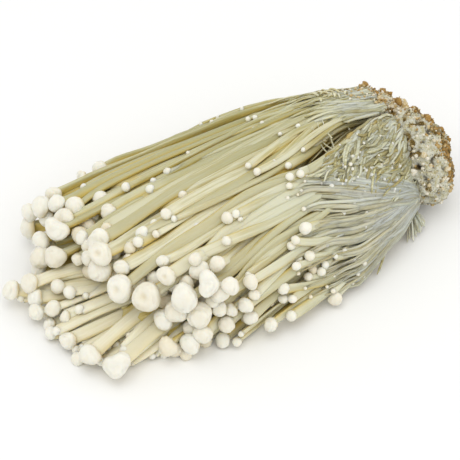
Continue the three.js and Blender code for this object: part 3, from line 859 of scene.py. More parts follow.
@dataclass
class Grove:
    """All the mushrooms of the bunch, laid side by side and pushed apart where they are too close."""

    view: Viewpoint
    form: BunchForm
    start_mm: float = -7.5
    points: int = 26
    filler_spacing_mm: float = 3.1
    filler_room: float = 0.72
    filler_short_mm: Pair = (2.0, 11.0)
    far_mm: float = -75.0
    far_cap_mm: Pair = (3.4, 6.4)
    near_cap_mm: Pair = (2.2, 3.6)
    row_share: float = 0.87
    lowest_row_mm: float = 1.3
    highest_row_mm: float = 36.0
    filler_reach_at_mm: float = -60.0
    radius_station_mm: tuple[float, ...] = (9, 24, 40, 60, 80)
    radius_mm: tuple[float, ...] = (0.62, 0.85, 1.08, 1.3, 1.42)
    cap_proud: float = 0.2
    cap_lies: float = 0.42
    seat_rounds: int = 12
    seat_step: float = 0.6
    on_top_from_mm: float = 12.0
    outer_below_mm: float = 0.9
    outer_spacing_mm: float = 3.3
    under_fan: int = 3
    under_fan_aside_mm: Pair = (-0.5, 3.2)
    under_fan_short_mm: Pair = (2.0, 15.0)
    under_fan_rise_mm: Pair = (-3.0, -0.3)
    under_fan_cap_mm: Pair = (2.3, 3.0)
    outer_thick: Pair = (1.05, 1.4)
    outer_flat: Pair = (0.55, 0.95)
    inner_thick: Pair = (0.85, 1.2)
    inner_flat: Pair = (0.25, 0.6)
    fan_opens_mm: Pair = (-76.0, -150.0)
    front_opens_mm: Pair = (-11.0, -46.0)
    fan_thin: float = 0.78
    front_share: float = -0.5
    front_thin: float = 0.76
    fan_middle_mm: float = -8.0
    root_stray: float = 0.07
    root_lower: Pair = (0.9, 1.0)
    fan_root_spread: float = 0.3
    fan_root_across: float = -0.25
    fan_root_up: float = 0.12
    low_mm: tuple[float, ...] = (3, 9, 15, 20)
    low_reach_mm: tuple[float, ...] = (-78, -84, -91, -136)
    low_shares: Pair = (-0.5, 0.35)
    wobble_mm: float = 1.5
    back_growth: float = 1.14
    middle_growth: float = 1.06
    fan_growth: float = 1.1
    rounds: int = 36
    look_again_rounds: int = 6
    touching_mm: float = 3.2
    slides: float = 0.2
    pull_home: float = 0.03
    stiffness: float = 0.18
    straighten_rounds: int = 24
    straighten: float = 0.35
    cap_squeeze: float = 0.92
    crowded_power: float = 0.6
    sinks: float = 0.9
    over_floor_mm: float = 0.05
    cleft_push: float = 0.6
    roof_push: float = 0.5
    seed: int = 11
    mushrooms: list[Mushroom] = field(default_factory=list)

    def gather_shown(self) -> None:
        """Place the mushrooms whose caps show."""
        growth = {Part.BACK: self.back_growth, Part.MIDDLE: self.middle_growth, Part.FAN: self.fan_growth}
        for part, caps in SHOWN.items():
            for i, cap in enumerate(caps):
                end = self.seat(cap, part in (Part.TOP, Part.FRONT))
                across, up = self.form.shares(end)
                node = f"mushroom_{part.value}_{i + 1:02d}" if i < SINGLES[part] else ""
                width = cap.width_mm * growth.get(part, 1.0)
                self.mushrooms.append(Mushroom(part, end, width, cap.turn, cap.form, across, up, True, node))

    def seat(self, cap: Cap, on_top: bool) -> Array:
        """Find where a shown cap sits.

        Args:
            cap: The cap.
            on_top: Whether it lies on the bunch's upper side, and not at its end.

        Returns:
            The cap's middle.
        """
        height = cap.height_mm
        end = self.view.place(cap.across_px, cap.down_px, height)
        for _ in range(self.seat_rounds):
            surface = self.form.roof(end[0], end[1]) + self.cap_proud * cap.width_mm
            if surface < end[2] or (on_top and end[2] > self.on_top_from_mm):
                height += self.seat_step * (surface - height)
            end = self.view.place(cap.across_px, cap.down_px, max(height, self.cap_lies * cap.width_mm))
        return end

    def filler_places(self, chance: random.Random) -> list[tuple[float, float, bool]]:
        """Choose where the fillers run, in one cross-section of the bunch.

        Args:
            chance: The seeded source of chance.

        Returns:
            Distance across and height of each, and whether it belongs to the outer row.
        """
        x = np.array(self.filler_reach_at_mm)
        half = float(self.form.middle_and_half(x)[1])
        share = np.linspace(-0.96, 0.96, 300)
        height = self.form.top(np.full(300, float(x)), share)
        roof = height - self.outer_below_mm
        apart = np.hypot(np.diff(share * half), np.diff(roof))
        apart /= np.where(share[1:] < self.front_share, self.front_thin, 1.0)
        run = np.concatenate([[0], np.cumsum(apart)])
        stops = np.arange(0.5, run[-1], self.outer_spacing_mm)
        places = [(float(np.interp(stop, run, share * half)), float(np.interp(stop, run, roof)), True)
                  for stop in stops]
        step = self.filler_spacing_mm
        row_step = step * self.row_share
        for row in range(int(self.highest_row_mm / row_step) + 1):
            z = self.lowest_row_mm + row * step * self.row_share
            for column in range(int(2 * half / step)):
                y = -half + (column + 0.5 * (row % 2) + 0.3) * step + chance.uniform(-0.35, 0.35)
                under = float(np.interp(y / half, share, roof)) - 0.9 * self.outer_spacing_mm
                if -0.97 < y / half < 0.97 and z < under:
                    places.append((y, z, False))
        return places

    def gather_fillers(self, chance: random.Random) -> None:
        """Fill the bunch behind the caps that show with mushrooms whose caps are hidden.

        Args:
            chance: The seeded source of chance.
        """
        x = np.array(self.filler_reach_at_mm)
        half = float(self.form.middle_and_half(x)[1])
        long = [m for m in self.mushrooms if m.part != Part.TOP]
        ends = np.array([m.end for m in long])
        places = np.array([(m.across, min(m.up, 1.0)) for m in long])
        top_here = self.form.top(np.full(len(places), float(x)), places[:, 0])
        seen_mm = np.stack([places[:, 0] * half, places[:, 1] * top_here], -1)
        long_enough = ends[:, 0] < x - 8
        for y, z, outer in self.filler_places(chance):
            apart = np.hypot(seen_mm[:, 0] - y, seen_mm[:, 1] - z)
            if (apart[long_enough] < self.filler_room * self.filler_spacing_mm).any():
                continue
            share = y / half
            near = 1 / (apart + 1.5) ** 3
            reach = float((near * ends[:, 0]).sum() / near.sum()) + chance.uniform(*self.filler_short_mm)
            up = z / float(self.form.top(x[None], np.array([share]))[0])
            reach = max(reach, self.edge_reach(share))
            if self.low_shares[0] < share < self.low_shares[1]:
                reach = max(reach, float(np.interp(z, self.low_mm, self.low_reach_mm)))
            width = chance.uniform(*(self.far_cap_mm if reach < self.far_mm else self.near_cap_mm))
            mid_end, half_end = self.form.middle_and_half(np.array([reach]))
            height_end = self.form.top(np.array([reach]), np.array([share]))
            end = np.array([reach, float((mid_end + share * half_end)[0]), float(up * height_end[0])])
            end[2] = max(end[2], width * self.cap_lies)
            self.mushrooms.append(Mushroom(Part.INSIDE, end, width, chance.uniform(0.1, 0.7), CapForm.BUTTON,
                                           share, up, False, outer=outer))

    def fill_fan(self, chance: random.Random) -> None:
        """Lay more stems between and under those of the fan, ending short of their caps.

        Args:
            chance: The seeded source of chance.
        """
        for m in [m for m in self.mushrooms if m.part == Part.FAN]:
            for _ in range(self.under_fan):
                aside = chance.uniform(*self.under_fan_aside_mm)
                aside = math.copysign(aside, self.fan_middle_mm - m.end[1])
                short = chance.uniform(*self.under_fan_short_mm)
                end = m.end + np.array([short, aside, chance.uniform(*self.under_fan_rise_mm)])
                end[2] = max(end[2], 1.5)
                across, up = self.form.shares(end)
                width = chance.uniform(*self.under_fan_cap_mm)
                self.mushrooms.append(Mushroom(Part.FAN, end, width, 0.2, CapForm.BALL, across, up, False))

    def edge_reach(self, share: float) -> float:
        """Give where a stem meets the bunch's side, which it doesn't grow beyond."""
        x = np.linspace(-30, -136, 54)
        middle, half = self.form.middle_and_half(x)
        y = middle + share * half
        outside = (y > self.form.side_back(x)) | (y < self.form.side_front_mm)
        return float(x[outside.argmax()]) if outside.any() else -136.0

    def shape_stems(self, chance: random.Random) -> None:
        """Choose where each stem starts, how thick and how flat it is.

        Args:
            chance: The seeded source of chance.
        """
        for number, m in enumerate(self.mushrooms):
            m.number = number
            aside = chance.uniform(-self.root_stray, self.root_stray)
            m.root = (m.across + aside, min(m.up, 1.0) * chance.uniform(*self.root_lower))
            if m.part == Part.FAN:
                m.root = (m.across * self.fan_root_spread + self.fan_root_across, self.fan_root_up)
                m.opens_mm = self.fan_opens_mm
            elif m.part == Part.FRONT:
                m.root = (-0.93 + 0.25 * (m.across + 0.8), 0.35 + 0.3 * min(m.up, 1.0))
                m.opens_mm = self.front_opens_mm
            wide = m.outer or m.part == Part.FAN
            thick = chance.uniform(*(self.outer_thick if wide else self.inner_thick))
            if m.part == Part.FAN:
                thick *= self.fan_thin
            elif m.across < self.front_share:
                thick *= self.front_thin
            m.radius_mm = min(thick, 0.44 * m.width_mm / self.radius_at(m.end[0]))
            m.flat = chance.uniform(*(self.outer_flat if wide else self.inner_flat))

    def radius_at(self, x: Array | float) -> Array | float:
        """Give the usual radius of a stem at a place along the bunch."""
        return np.interp(-np.asarray(x), self.radius_station_mm, self.radius_mm)

    def lay(self) -> tuple[Array, Array]:
        """Lay every stem's line.

        Returns:
            Lines as stems by points by x, y, z, and the radius at each point.
        """
        chance = np.random.default_rng(self.seed)
        crowd = self.mushrooms
        end = np.array([m.end for m in crowd])
        ends = np.array([(m.across, m.up) for m in crowd])
        roots = np.array([m.root for m in crowd])
        opens = np.array([m.opens_mm for m in crowd])
        lines = self.form.lines(ends, roots, end[:, 0], opens, self.start_mm, self.points)
        t = np.linspace(0, 1, self.points)[None, :, None]
        lines += (end - lines[:, -1])[:, None, :] * t**3
        sway = chance.normal(size=(len(crowd), 3, 2))
        waves = np.stack([np.sin(math.pi * k * t[0, :, 0]) / k for k in (1, 2, 3)], -1)
        length = (self.start_mm - end[:, 0])[:, None]
        reach = self.wobble_mm * np.clip(length / 90, 0.15, 1)
        lines[..., 1] += reach * (waves @ sway[:, :, 0].T).T
        lines[..., 2] += 0.5 * reach * (waves @ sway[:, :, 1].T).T
        radius = self.radius_at(lines[..., 0]) * np.array([m.radius_mm for m in crowd])[:, None]
        return self.settle(lines, radius), radius

    def settle(self, lines: Array, radius: Array) -> Array:
        """Push the stems apart until they lie side by side.

        Args:
            lines: Stems by points by x, y, z, changed in place.
            radius: The radius at each point.

        Returns:
            The settled lines.
        """
        crowd, count = lines.shape[:2]
        home = lines.copy()
        shown = np.array([m.shown for m in self.mushrooms])
        cap_radius = np.array([0.5 * m.width_mm for m in self.mushrooms])
        owner = np.repeat(np.arange(crowd), count)
        is_tip = np.tile(np.arange(count), crowd) == count - 1
        size = radius.ravel().copy()
        size[is_tip] = cap_radius * self.cap_squeeze
        low = size.reshape(crowd, count)
        across = np.array([m.across for m in self.mushrooms])
        side = np.where(across < self.form.cleft_share, -1.0, 1.0)[:, None]
        pair = (np.empty(0, int), np.empty(0, int))
        for turn in range(self.rounds):
            if turn % self.look_again_rounds == 0:
                pair = self.neighbours(lines.reshape(-1, 3), owner, size)
            lines += self.push(lines, size, is_tip, shown, pair)
            pull = self.pull_home if turn < self.rounds - self.look_again_rounds else 0.0
            lines[:, 1:] += pull * (home[:, 1:] - lines[:, 1:])
            bend = lines[:, 2:] + lines[:, :-2] - 2 * lines[:, 1:-1]
            lines[:, 1:-1] += self.stiffness * bend
            self.keep_in(lines, low, side, shown)
            lines[..., 2] = np.maximum(lines[..., 2], low * self.sinks + self.over_floor_mm)
        short = np.array([m.shown and m.part in (Part.FRONT, Part.TOP) for m in self.mushrooms])
        late = np.where(short[:, None], smooth_step(0.5, 0.85, np.linspace(0, 1, count)), 0)[:, 1:-1, None]
        for _ in range(self.straighten_rounds):
            lines[:, 1:-1] += self.straighten * late * (lines[:, 2:] + lines[:, :-2] - 2 * lines[:, 1:-1])
        moved = np.linalg.norm(lines - home, axis=-1)
        LOG.info("settled %d mushrooms, mean move %.2f mm, most %.2f mm", crowd, moved.mean(), moved.max())
        return lines

    def push(self, lines: Array, size: Array, is_tip: Array, shown: Array,
             pair: tuple[Array, Array]) -> Array:
        """Work out one round of pushes between stems that lie too close.

        Args:
            lines: Stems by points by x, y, z.
            size: The radius at each point, in one row.
            is_tip: Which points end a stem.
            shown: Which stems end in caps that show; these move only toward the camera or away.
            pair: The first and the second point of every pair of points that are close.

        Returns:
            How far each point moves.
        """
        first, second = pair
        points = lines.reshape(-1, 3)
        tangent = unit(np.gradient(lines, axis=1)).reshape(-1, 3)
        gap = points[first] - points[second]
        same_way = np.sign((tangent[first] * tangent[second]).sum(-1))[:, None]
        axis = unit(tangent[first] + tangent[second] * same_way)
        along = (gap * axis).sum(-1)
        both_tips = is_tip[first] & is_tip[second]
        across = np.where(both_tips[:, None], gap, gap - along[:, None] * axis)
        apart = np.linalg.norm(across, axis=-1)
        need = size[first] + size[second]
        a_tip = is_tip[first] | is_tip[second]
        close = np.abs(along) < np.where(a_tip, 0.8 * need, self.touching_mm)
        push = np.where(close, np.maximum(need - apart, 0), 0) * 0.5
        push = push[:, None] * across / np.maximum(apart, 0.05)[:, None]
        hit = (np.abs(push).sum(-1) > 1e-6).astype(float)
        count = len(points)
        move = np.stack([np.bincount(first, push[:, i], count) - np.bincount(second, push[:, i], count)
                         for i in range(3)], -1)
        tally = np.bincount(first, hit, count) + np.bincount(second, hit, count)
        move /= np.maximum(tally, 1)[:, None] ** self.crowded_power
        move = move.reshape(lines.shape)
        move[..., 0] *= self.slides
        move[:, :1] = 0
        back = self.view.axes()[2]
        tips = move[:, -1].copy()
        tips = np.where(shown[:, None], (tips @ back)[:, None] * back, tips)
        relax(move, 2)
        move[:, -1] = tips
        return move

    def keep_in(self, lines: Array, size: Array, side: Array, shown: Array) -> None:
        """Keep stems out of the cleft, under the bunch's top and within its sides.

        Args:
            lines: Stems by points by x, y, z, changed in place.
            size: The radius at each point.
            side: On which side of the cleft each stem runs, -1 or 1.
            shown: Which stems end in caps that show, and so stay where they are.
        """
        x, y, z = (lines[:, 1:, i] for i in range(3))
        wide = 0.5 * self.form.cleft_width_mm * self.form.parting(x)
        wide = wide * smooth_step(self.form.cleft_floor_mm - 3, self.form.cleft_floor_mm + 3, z)
        inside = wide + size[:, 1:] * smooth_step(0.05, 0.3, self.form.parting(x))
        inside = inside - side * (y - self.form.cleft_middle(x, z))
        inside = np.where(self.form.parting(x) > 0.05, np.clip(inside, 0, 2.0), 0)
        y = y + self.cleft_push * side * inside
        middle, half = self.form.middle_and_half(x)
        roof = self.form.top(x, np.clip((y - middle) / half, -1, 1)) + 0.6 - 0.7 * size[:, 1:]
        over = np.clip(z - roof, 0, 2.0)
        hidden = ~shown[:, None]
        lines[:, 1:, 1] = np.where(hidden, np.minimum(y, self.form.side_back(x) - size[:, 1:]), y)
        lines[:, 1:-1, 2] -= self.roof_push * over[:, :-1]
        lines[:, -1, 2] -= self.roof_push * over[:, -1] * hidden[:, 0]

    @staticmethod
    def neighbours(points: Array, owner: Array, size: Array) -> tuple[Array, Array]:
        """List the pairs of points of different stems that are close.

        Args:
            points: All points of all stems.
            owner: The stem of each point.
            size: The radius at each point.

        Returns:
            The first and the second point of every pair.
        """
        tree = kdtree.KDTree(len(points))
        for i, point in enumerate(points):
            tree.insert(point, i)
        tree.balance()
        first, second = [], []
        for i, point in enumerate(points):
            for _, j, _ in tree.find_range(point, size[i] + 2.8 + (2.0 if size[i] > 2 else 0)):
                if owner[j] != owner[i] and (j > i or size[j] + 2.8 < size[i] + 2.8):
                    first.append(i)
                    second.append(j)
        return np.array(first, int), np.array(second, int)


# ---------------------------------------------------------------- meshes
# Grain is drawn out along the stems: a millimetre there counts for this much.
ALONG_GRAIN = 0.045
# Where along the bunch the stems begin to be matted, and where they are wholly so.
MATTED_ALONG_MM = (-17.0, -9.0)


@dataclass
class Patch:
    """A mesh in the making: points, faces, their material, and values on points."""

    points: Array
    faces: list[tuple[int, ...]]
    slots: list[int]
    values: dict[str, Array]


def loft(rings: Array) -> list[tuple[int, ...]]:
    """Join rings of points into one closed skin.

    Args:
        rings: Rings by points by x, y, z.

    Returns:
        Faces, ring by ring, and then a face over each end.
    """
    count, sides = rings.shape[:2]
    faces = []
    for ring in range(count - 1):
        here, there = ring * sides, (ring + 1) * sides
        for i in range(sides):
            after = (i + 1) % sides
            faces.append((here + i, there + i, there + after, here + after))
    faces.append(tuple(range(sides)))
    faces.append(tuple((count - 1) * sides + i for i in reversed(range(sides))))
    return faces


def make_piece(name: str, patches: Sequence[Patch],
               materials: Sequence[bpy.types.Material]) -> bpy.types.Object:
    """Make one object of patches.

    Args:
        name: The piece's name.
        patches: What it is made of, in millimetres.
        materials: Its materials, in the order of the patches' slots.

    Returns:
        The object, in metres.
    """
    points, faces, slots, start = [], [], [], 0
    for patch in patches:
        points.append(patch.points)
        faces.extend(tuple(start + i for i in face) for face in patch.faces)
        slots.extend(patch.slots)
        start += len(patch.points)
    mesh = bpy.data.meshes.new(name)
    mesh.from_pydata((np.concatenate(points) * MM).tolist(), [], faces)
    mesh.polygons.foreach_set("material_index", slots)
    mesh.polygons.foreach_set("use_smooth", [True] * len(faces))
    for material in materials:
        mesh.materials.append(material)
    for key in patches[0].values:
        joined = np.concatenate([patch.values[key] for patch in patches])
        kind = "FLOAT_VECTOR" if joined.ndim == 2 else "FLOAT"
        store = mesh.attributes.new(key, kind, "POINT")
        store.data.foreach_set("vector" if joined.ndim == 2 else "value", joined.astype(np.float32).ravel())
    piece = bpy.data.objects.new(name, mesh)
    bpy.context.scene.collection.objects.link(piece)
    return piece


@dataclass(frozen=True)
class CapProfile:
    """The outline of a cap, for a cap one unit in radius, from the stem to the crown."""

    crown: float
    margin_drop: float
    rolled_in: float
    dimple_depth: float = 0.0
    dimple_width: float = 0.4
    lobes: float = 0.06
    joint_share: float = 0.75

    def outline(self, stem: float, steps: int) -> Array:
        """Draw the outline.

        Args:
            stem: The stem's radius in cap radii.
            steps: Points over the dome.

        Returns:
            Points of radius and height.
        """
        drop, roll = self.margin_drop, self.rolled_in
        under = [(stem, -drop * self.joint_share), (stem + 0.35 * (roll - stem), -drop * 0.8),
                 (roll, -drop), (0.5 * (roll + 1), -drop * 0.72), (0.985, -drop * 0.3)]
        angles = np.linspace(0.04, 0.94, steps) * math.pi / 2
        dome = np.stack([np.cos(angles) ** 0.78, self.crown * np.sin(angles) ** 0.92], -1)
        outline = np.concatenate([np.array(under), dome])
        dimple = self.dimple_depth * np.exp(-((outline[:, 0] / self.dimple_width) ** 2))
        outline[:, 1] -= dimple * (outline[:, 1] > 0)
        return outline


PROFILES = {
    CapForm.BALL: CapProfile(0.95, 0.62, 0.72, lobes=0.03),
    CapForm.BUTTON: CapProfile(0.84, 0.36, 0.84),
    CapForm.DIMPLED: CapProfile(0.8, 0.36, 0.84, 0.26, 0.3),
    CapForm.CUPPED: CapProfile(0.42, 0.3, 0.9, 0.4, 0.6, 0.12),
    CapForm.LOBED: CapProfile(0.78, 0.36, 0.84, 0.14, 0.45, 0.15),
}


@dataclass
class StemCourse:
    """A stem's way in rings: where each ring's middle is and how it faces."""

    stations: Array
    middle: Array
    size: Array
    hidden: Array
    side: Array
    out: Array


@dataclass
class StemShape:
    """A stem's section and its rings of points."""

    section: Array
    local_out: Array
    rings: Array


@dataclass
class MushroomMaker:
    """Draws each mushroom as one closed skin from its root end to its crown."""

    form: BunchForm
    sides: int = 14
    fine_sides: int = 24
    fine_from_mm: float = 3.4
    ball_below_mm: float = 1.9
    stem_rings: int = 30
    dome_steps: int = 7
    fine_dome_steps: int = 12
    round_width: float = 1.1
    flat_widens: float = 0.75
    flat_thins: float = 0.38
    slow_swell_mm: float = 9.0
    quick_swell_mm: float = 4.0
    deepest_groove: float = 0.22
    nod: Triple = (0.0, -0.5, 0.8)
    nod_share: float = 1.5
    nod_chance: float = 0.16
    nod_outward: float = 0.2
    outward_level: float = 0.379
    dent: float = 0.12
    crease: float = 0.1
    rim_groove: float = 0.1
    rim_at: float = 0.74
    tip_tan: float = 0.28
    # Where the painted golden shade on stems is lessened: near the root, at the back.
    less_shade_from_mm: Pair = (-62.0, 2.0)
    less_shade_share: float = 0.7
    cream: float = 0.3
    fan_cream: float = 0.6
    cream_along_mm: Pair = (-45.0, -90.0)
    collar_mm: float = 7.0
    collar_cream: float = 0.35
    underside_shade: float = 0.6
    cool_along_mm: Pair = (-92.0, -42.0)
    cool_across_mm: Pair = (2.0, -20.0)
    back_cool: float = 0.4
    back_cool_along_mm: Pair = (-84.0, -52.0)
    back_cool_across_mm: Pair = (-2.0, 8.0)
    back_shade_across_mm: Pair = (-14.0, 16.0)
    fan_back_shade: float = 0.1
    floor_mm: float = 0.02
    seed: int = 5

    def outward(self, m: Mushroom) -> Array:
        """Give the way out of the bunch from a stem."""
        if m.part == Part.FAN:
            return np.array([0.0, 0.15 * m.across, 1.0])
        return np.array([0.0, m.across * 0.9, min(m.up, 1.0) - self.outward_level])

    def build(self, m: Mushroom, line: Array, radius: Array, deep: Array) -> Patch:
        """Draw one mushroom.

        Args:
            m: The mushroom.
            line: Its stem's settled line.
            radius: The radius at each point of the line.
            deep: How hidden from light each point of the line is, from 0 to 1.

        Returns:
            Its patch.
        """
        chance = np.random.default_rng(self.seed * 1000 + m.number)
        cap_radius = 0.5 * m.width_mm
        profile = PROFILES[m.form if cap_radius > self.ball_below_mm else CapForm.BALL]
        tip_way = unit(line[-1] - line[-3])
        lean = tip_way + np.array(self.nod) * m.turn * self.nod_share
        lean = lean + chance.normal(size=3) * self.nod_chance
        lean = unit(lean + self.nod_outward * unit(self.outward(m)))
        blob_middle = 0.5 * (profile.crown - profile.margin_drop) * cap_radius
        seat = line[-1] - lean * blob_middle
        joint = seat - lean * profile.margin_drop * profile.joint_share * cap_radius
        course = self.course(m, line, radius, deep, joint)
        fine = m.shown and m.width_mm > self.fine_from_mm
        sides = self.fine_sides if fine else self.sides
        angle = np.linspace(0, 2 * math.pi, sides, endpoint=False)
        stem = self.stem(m, course, angle, chance)
        steps = self.fine_dome_steps if fine else self.dome_steps
        outline = profile.outline(float(course.size[-1] / cap_radius), steps)
        flat_side = unit(course.side[-1] - (course.side[-1] @ lean) * lean)
        axes = np.stack([flat_side, np.cross(lean, flat_side), lean])
        cap = self.cap(m, seat, axes, profile, outline, angle, chance)
        crown = seat + lean * (profile.crown - profile.dimple_depth) * cap_radius
        rings = np.concatenate([stem.rings, cap])
        rings[..., 2] = np.maximum(rings[..., 2], self.floor_mm)
        points = np.concatenate([rings.reshape(-1, 3), crown[None]])
        faces = loft(rings)
        top = len(points) - 1
        last = (len(rings) - 1) * sides
        faces.pop()
        faces.extend((last + i, top, last + (i + 1) % sides) for i in range(sides))
        stem_faces = (self.stem_rings - 1) * sides
        slots = [0] * stem_faces + [1] * (len(faces) - stem_faces)
        slots[len(faces) - sides - 1] = 0
        return Patch(points, faces, slots, self.values(m, rings, course, stem, outline, chance))

    def course(self, m: Mushroom, line: Array, radius: Array, deep: Array, joint: Array) -> StemCourse:
        """Divide a stem's line into rings that end where its cap begins.

        Args:
            m: The mushroom.
            line: Its stem's settled line.
            radius: The radius at each point of the line.
            deep: How hidden from light each point of the line is.
            joint: Where the cap begins.

        Returns:
            The stem's course.
        """
        grown = np.concatenate([[0], np.cumsum(np.linalg.norm(np.diff(line, axis=0), axis=1))])
        body = line + (joint - line[-1]) * (np.linspace(0, 1, len(line))[:, None] ** 6)
        stations = np.linspace(0, 1, self.stem_rings) * grown[-1]
        middle = np.stack([np.interp(stations, grown, body[:, i]) for i in range(3)], -1)
        relax(middle, 2)
        tangent = unit(np.gradient(middle, axis=0))
        out = unit(self.outward(m) - (tangent @ self.outward(m))[:, None] * tangent)
        size, hidden = np.interp(stations, grown, radius), np.interp(stations, grown, deep)
        return StemCourse(stations, middle, size, hidden, np.cross(tangent, out), out)

    def stem(self, m: Mushroom, course: StemCourse, angle: Array, chance: np.random.Generator) -> StemShape:
        """Draw the stem's rings: flattened, folded, now and then grooved, and twisted.

        Args:
            m: The mushroom.
            course: The stem's course.
            angle: The angle of each side.
            chance: The seeded source of chance.

        Returns:
            The stem's shape.
        """
        stations = course.stations
        loose = 1.0 - 0.5 * m.flat
        twist = loose * (chance.uniform(-0.6, 0.6) + chance.uniform(-0.7, 0.7) * stations / 100)
        flat = m.flat * smooth_step(-12.0, -50.0, course.middle[:, 0])[:, None]
        wide, thick = self.round_width + self.flat_widens * flat, 1 - self.flat_thins * flat
        slow, quick = chance.uniform(0, 6), chance.uniform(0, 6)
        swell = 1 + 0.08 * np.sin(stations / self.slow_swell_mm + slow)
        swell = swell + 0.05 * np.sin(stations / self.quick_swell_mm + quick)
        groove = chance.uniform(0.0, self.deepest_groove) * (chance.uniform() < 0.5)
        three, four = chance.uniform(0, 6), chance.uniform(0, 6)
        folds = 1 + 0.05 * np.cos(3 * angle + three) + 0.04 * np.cos(4 * angle + four)
        dent = 1 - groove * np.exp(-((np.cos(angle) / 0.4) ** 2))
        section = np.stack([wide * np.cos(angle) * folds, thick * np.sin(angle) * dent * folds], -1)
        turn_cos, turn_sin = np.cos(twist)[:, None], np.sin(twist)[:, None]
        local_side = section[..., 0] * turn_cos - section[..., 1] * turn_sin
        local_out = section[..., 0] * turn_sin + section[..., 1] * turn_cos
        scale = (course.size * swell)[:, None]
        rings = (course.middle[:, None, :] + course.side[:, None, :] * (local_side * scale)[..., None]
                 + course.out[:, None, :] * (local_out * scale)[..., None])
        return StemShape(section, local_out, rings)

    def cap(self, m: Mushroom, seat: Array, axes: Array, profile: CapProfile, outline: Array,
            angle: Array, chance: np.random.Generator) -> Array:
        """Draw the cap's rings: lobed, tilted, and with dents and creases.

        Args:
            m: The mushroom.
            seat: The middle of the cap's base.
            axes: The cap's two ways across and its way up.
            profile: The cap's profile.
            outline: The profile's outline.
            angle: The angle of each side.
            chance: The seeded source of chance.

        Returns:
            Rings by points by x, y, z.
        """
        cap_radius = 0.5 * m.width_mm
        two, three = chance.uniform(0, 6), chance.uniform(0, 6)
        spread = 1 + profile.lobes * (np.cos(2 * angle + two) + 0.6 * np.cos(3 * angle + three))
        grow = smooth_step(0.3, 0.9, outline[:, 0])[:, None]
        spread = 1 + (spread[None, :] - 1) * grow
        reach = outline[:, :1] * spread * cap_radius
        wave = np.cos(2 * angle + chance.uniform(0, 6))[None, :]
        rise = outline[:, 1:] * cap_radius + profile.lobes * 0.9 * wave * outline[:, :1] * cap_radius
        flat_side, flat_out, lean = axes
        around = flat_side[None, :] * np.cos(angle)[:, None] + flat_out[None, :] * np.sin(angle)[:, None]
        cap = seat + around[None] * reach[..., None] + lean * rise[..., None]
        stray = self.stray(cap, m, outline)
        return cap + unit(cap - seat) * (stray * cap_radius * grow**0.5)[..., None]

    def stray(self, cap: Array, m: Mushroom, outline: Array) -> Array:
        """Find how far a cap's skin strays from its smooth form, in broad dents and creases.

        Args:
            cap: The cap's rings.
            m: The mushroom.
            outline: The cap's outline.

        Returns:
            Distances in cap radii, one for each point.
        """
        flat = cap.reshape(-1, 3)
        cap_radius = 0.5 * m.width_mm
        ball = 0.4 if m.form == CapForm.BALL else 1.0
        dents = self.dent * bumps(flat, 0.9 * cap_radius + 0.8, m.number)
        lines = np.abs(bumps(flat, 0.8 * cap_radius + 0.3, m.number + 400))
        creases = self.crease * smooth_step(0.1, 0.0, lines)
        rim = np.exp(-(((outline[:, 0] - self.rim_at) / 0.07) ** 2)) * (outline[:, 1] > 0.15)
        uneven = 0.4 + bumps(flat, 1.2 * cap_radius, m.number + 900).reshape(cap.shape[:2])
        rim = self.rim_groove * rim[:, None] * uneven
        return ball * ((dents - creases).reshape(cap.shape[:2]) - np.maximum(rim, 0.0))

    def values(self, m: Mushroom, rings: Array, course: StemCourse, stem: StemShape,
               outline: Array, chance: np.random.Generator) -> dict[str, Array]:
        """Work out what the finishes read from each point.

        Args:
            m: The mushroom.
            rings: All rings, stem then cap.
            course: The stem's course.
            stem: The stem's shape.
            outline: The cap's outline.
            chance: The seeded source of chance.

        Returns:
            The named values.
        """
        sides = rings.shape[1]
        count = rings.shape[0] * sides + 1
        stations = course.stations
        stem_count = len(stations) * sides
        cap_count = count - stem_count
        grain = np.zeros((count, 3))
        shift = chance.uniform(0, 400, size=3)
        streak = stem.section * course.size[:, None, None]
        grain[:stem_count, :2] = streak.reshape(-1, 2) + shift[:2]
        grain[:stem_count, 2] = np.repeat(stations, sides) * ALONG_GRAIN + shift[2]
        grain[stem_count:-1] = rings[len(stations):].reshape(-1, 3) + shift
        grain[-1] = grain[-2]
        # Painted shade: golden on caps, more on the hidden ones.
        cap_deep = min(1.0, 0.3 + course.hidden[-1])
        if m.shown or m.part == Part.FAN:
            cap_deep = course.hidden[-1] * 0.9
        deep = np.concatenate([self.stem_deep(m, rings, course, stem), np.full(cap_count, cap_deep)])
        along = np.concatenate([np.repeat(stations / stations[-1], sides), np.ones(cap_count)])
        cream = self.fan_cream if m.part == Part.FAN else self.cream
        along_bunch = np.repeat(rings[:len(stations), 0, 0], sides)
        near_cap = cream * smooth_step(*self.cream_along_mm, along_bunch)
        near_cap = np.concatenate([near_cap, np.full(cap_count, near_cap[-1])])
        collar = self.collar_mm / max(stations[-1], self.collar_mm + 1)
        near_cap += smooth_step(1 - collar, 1.0, along) * self.collar_cream
        under = np.zeros(count)
        # Painted shade: tan on the cap's underside.
        lower = np.clip(1 - (outline[:, 1] + 0.2) / 0.3, 0, 1) * self.underside_shade
        if m.form == CapForm.DIMPLED:
            lower += self.tip_tan * np.exp(-((outline[:, 0] / 0.2) ** 2)) * (outline[:, 1] > 0)
            under[-1] = self.tip_tan
        under[stem_count:-1] = np.repeat(lower, sides)
        points = np.concatenate([rings.reshape(-1, 3), rings[-1, :1]])
        x, y = points[:, 0], points[:, 1]
        cool = smooth_step(*self.cool_along_mm, x) * smooth_step(*self.cool_across_mm, y)
        cool_back = smooth_step(*self.back_cool_across_mm, y)
        cool += self.back_cool * smooth_step(*self.back_cool_along_mm, x) * cool_back
        matted = smooth_step(*MATTED_ALONG_MM, x + 2.0 * np.sin(y * 1.3))
        # Painted shade: darker towards the back of the bunch, barely at all in the fan.
        back_shade = 0.35 + 0.65 * smooth_step(*self.back_shade_across_mm, y)
        if m.part == Part.FAN:
            back_shade *= self.fan_back_shade
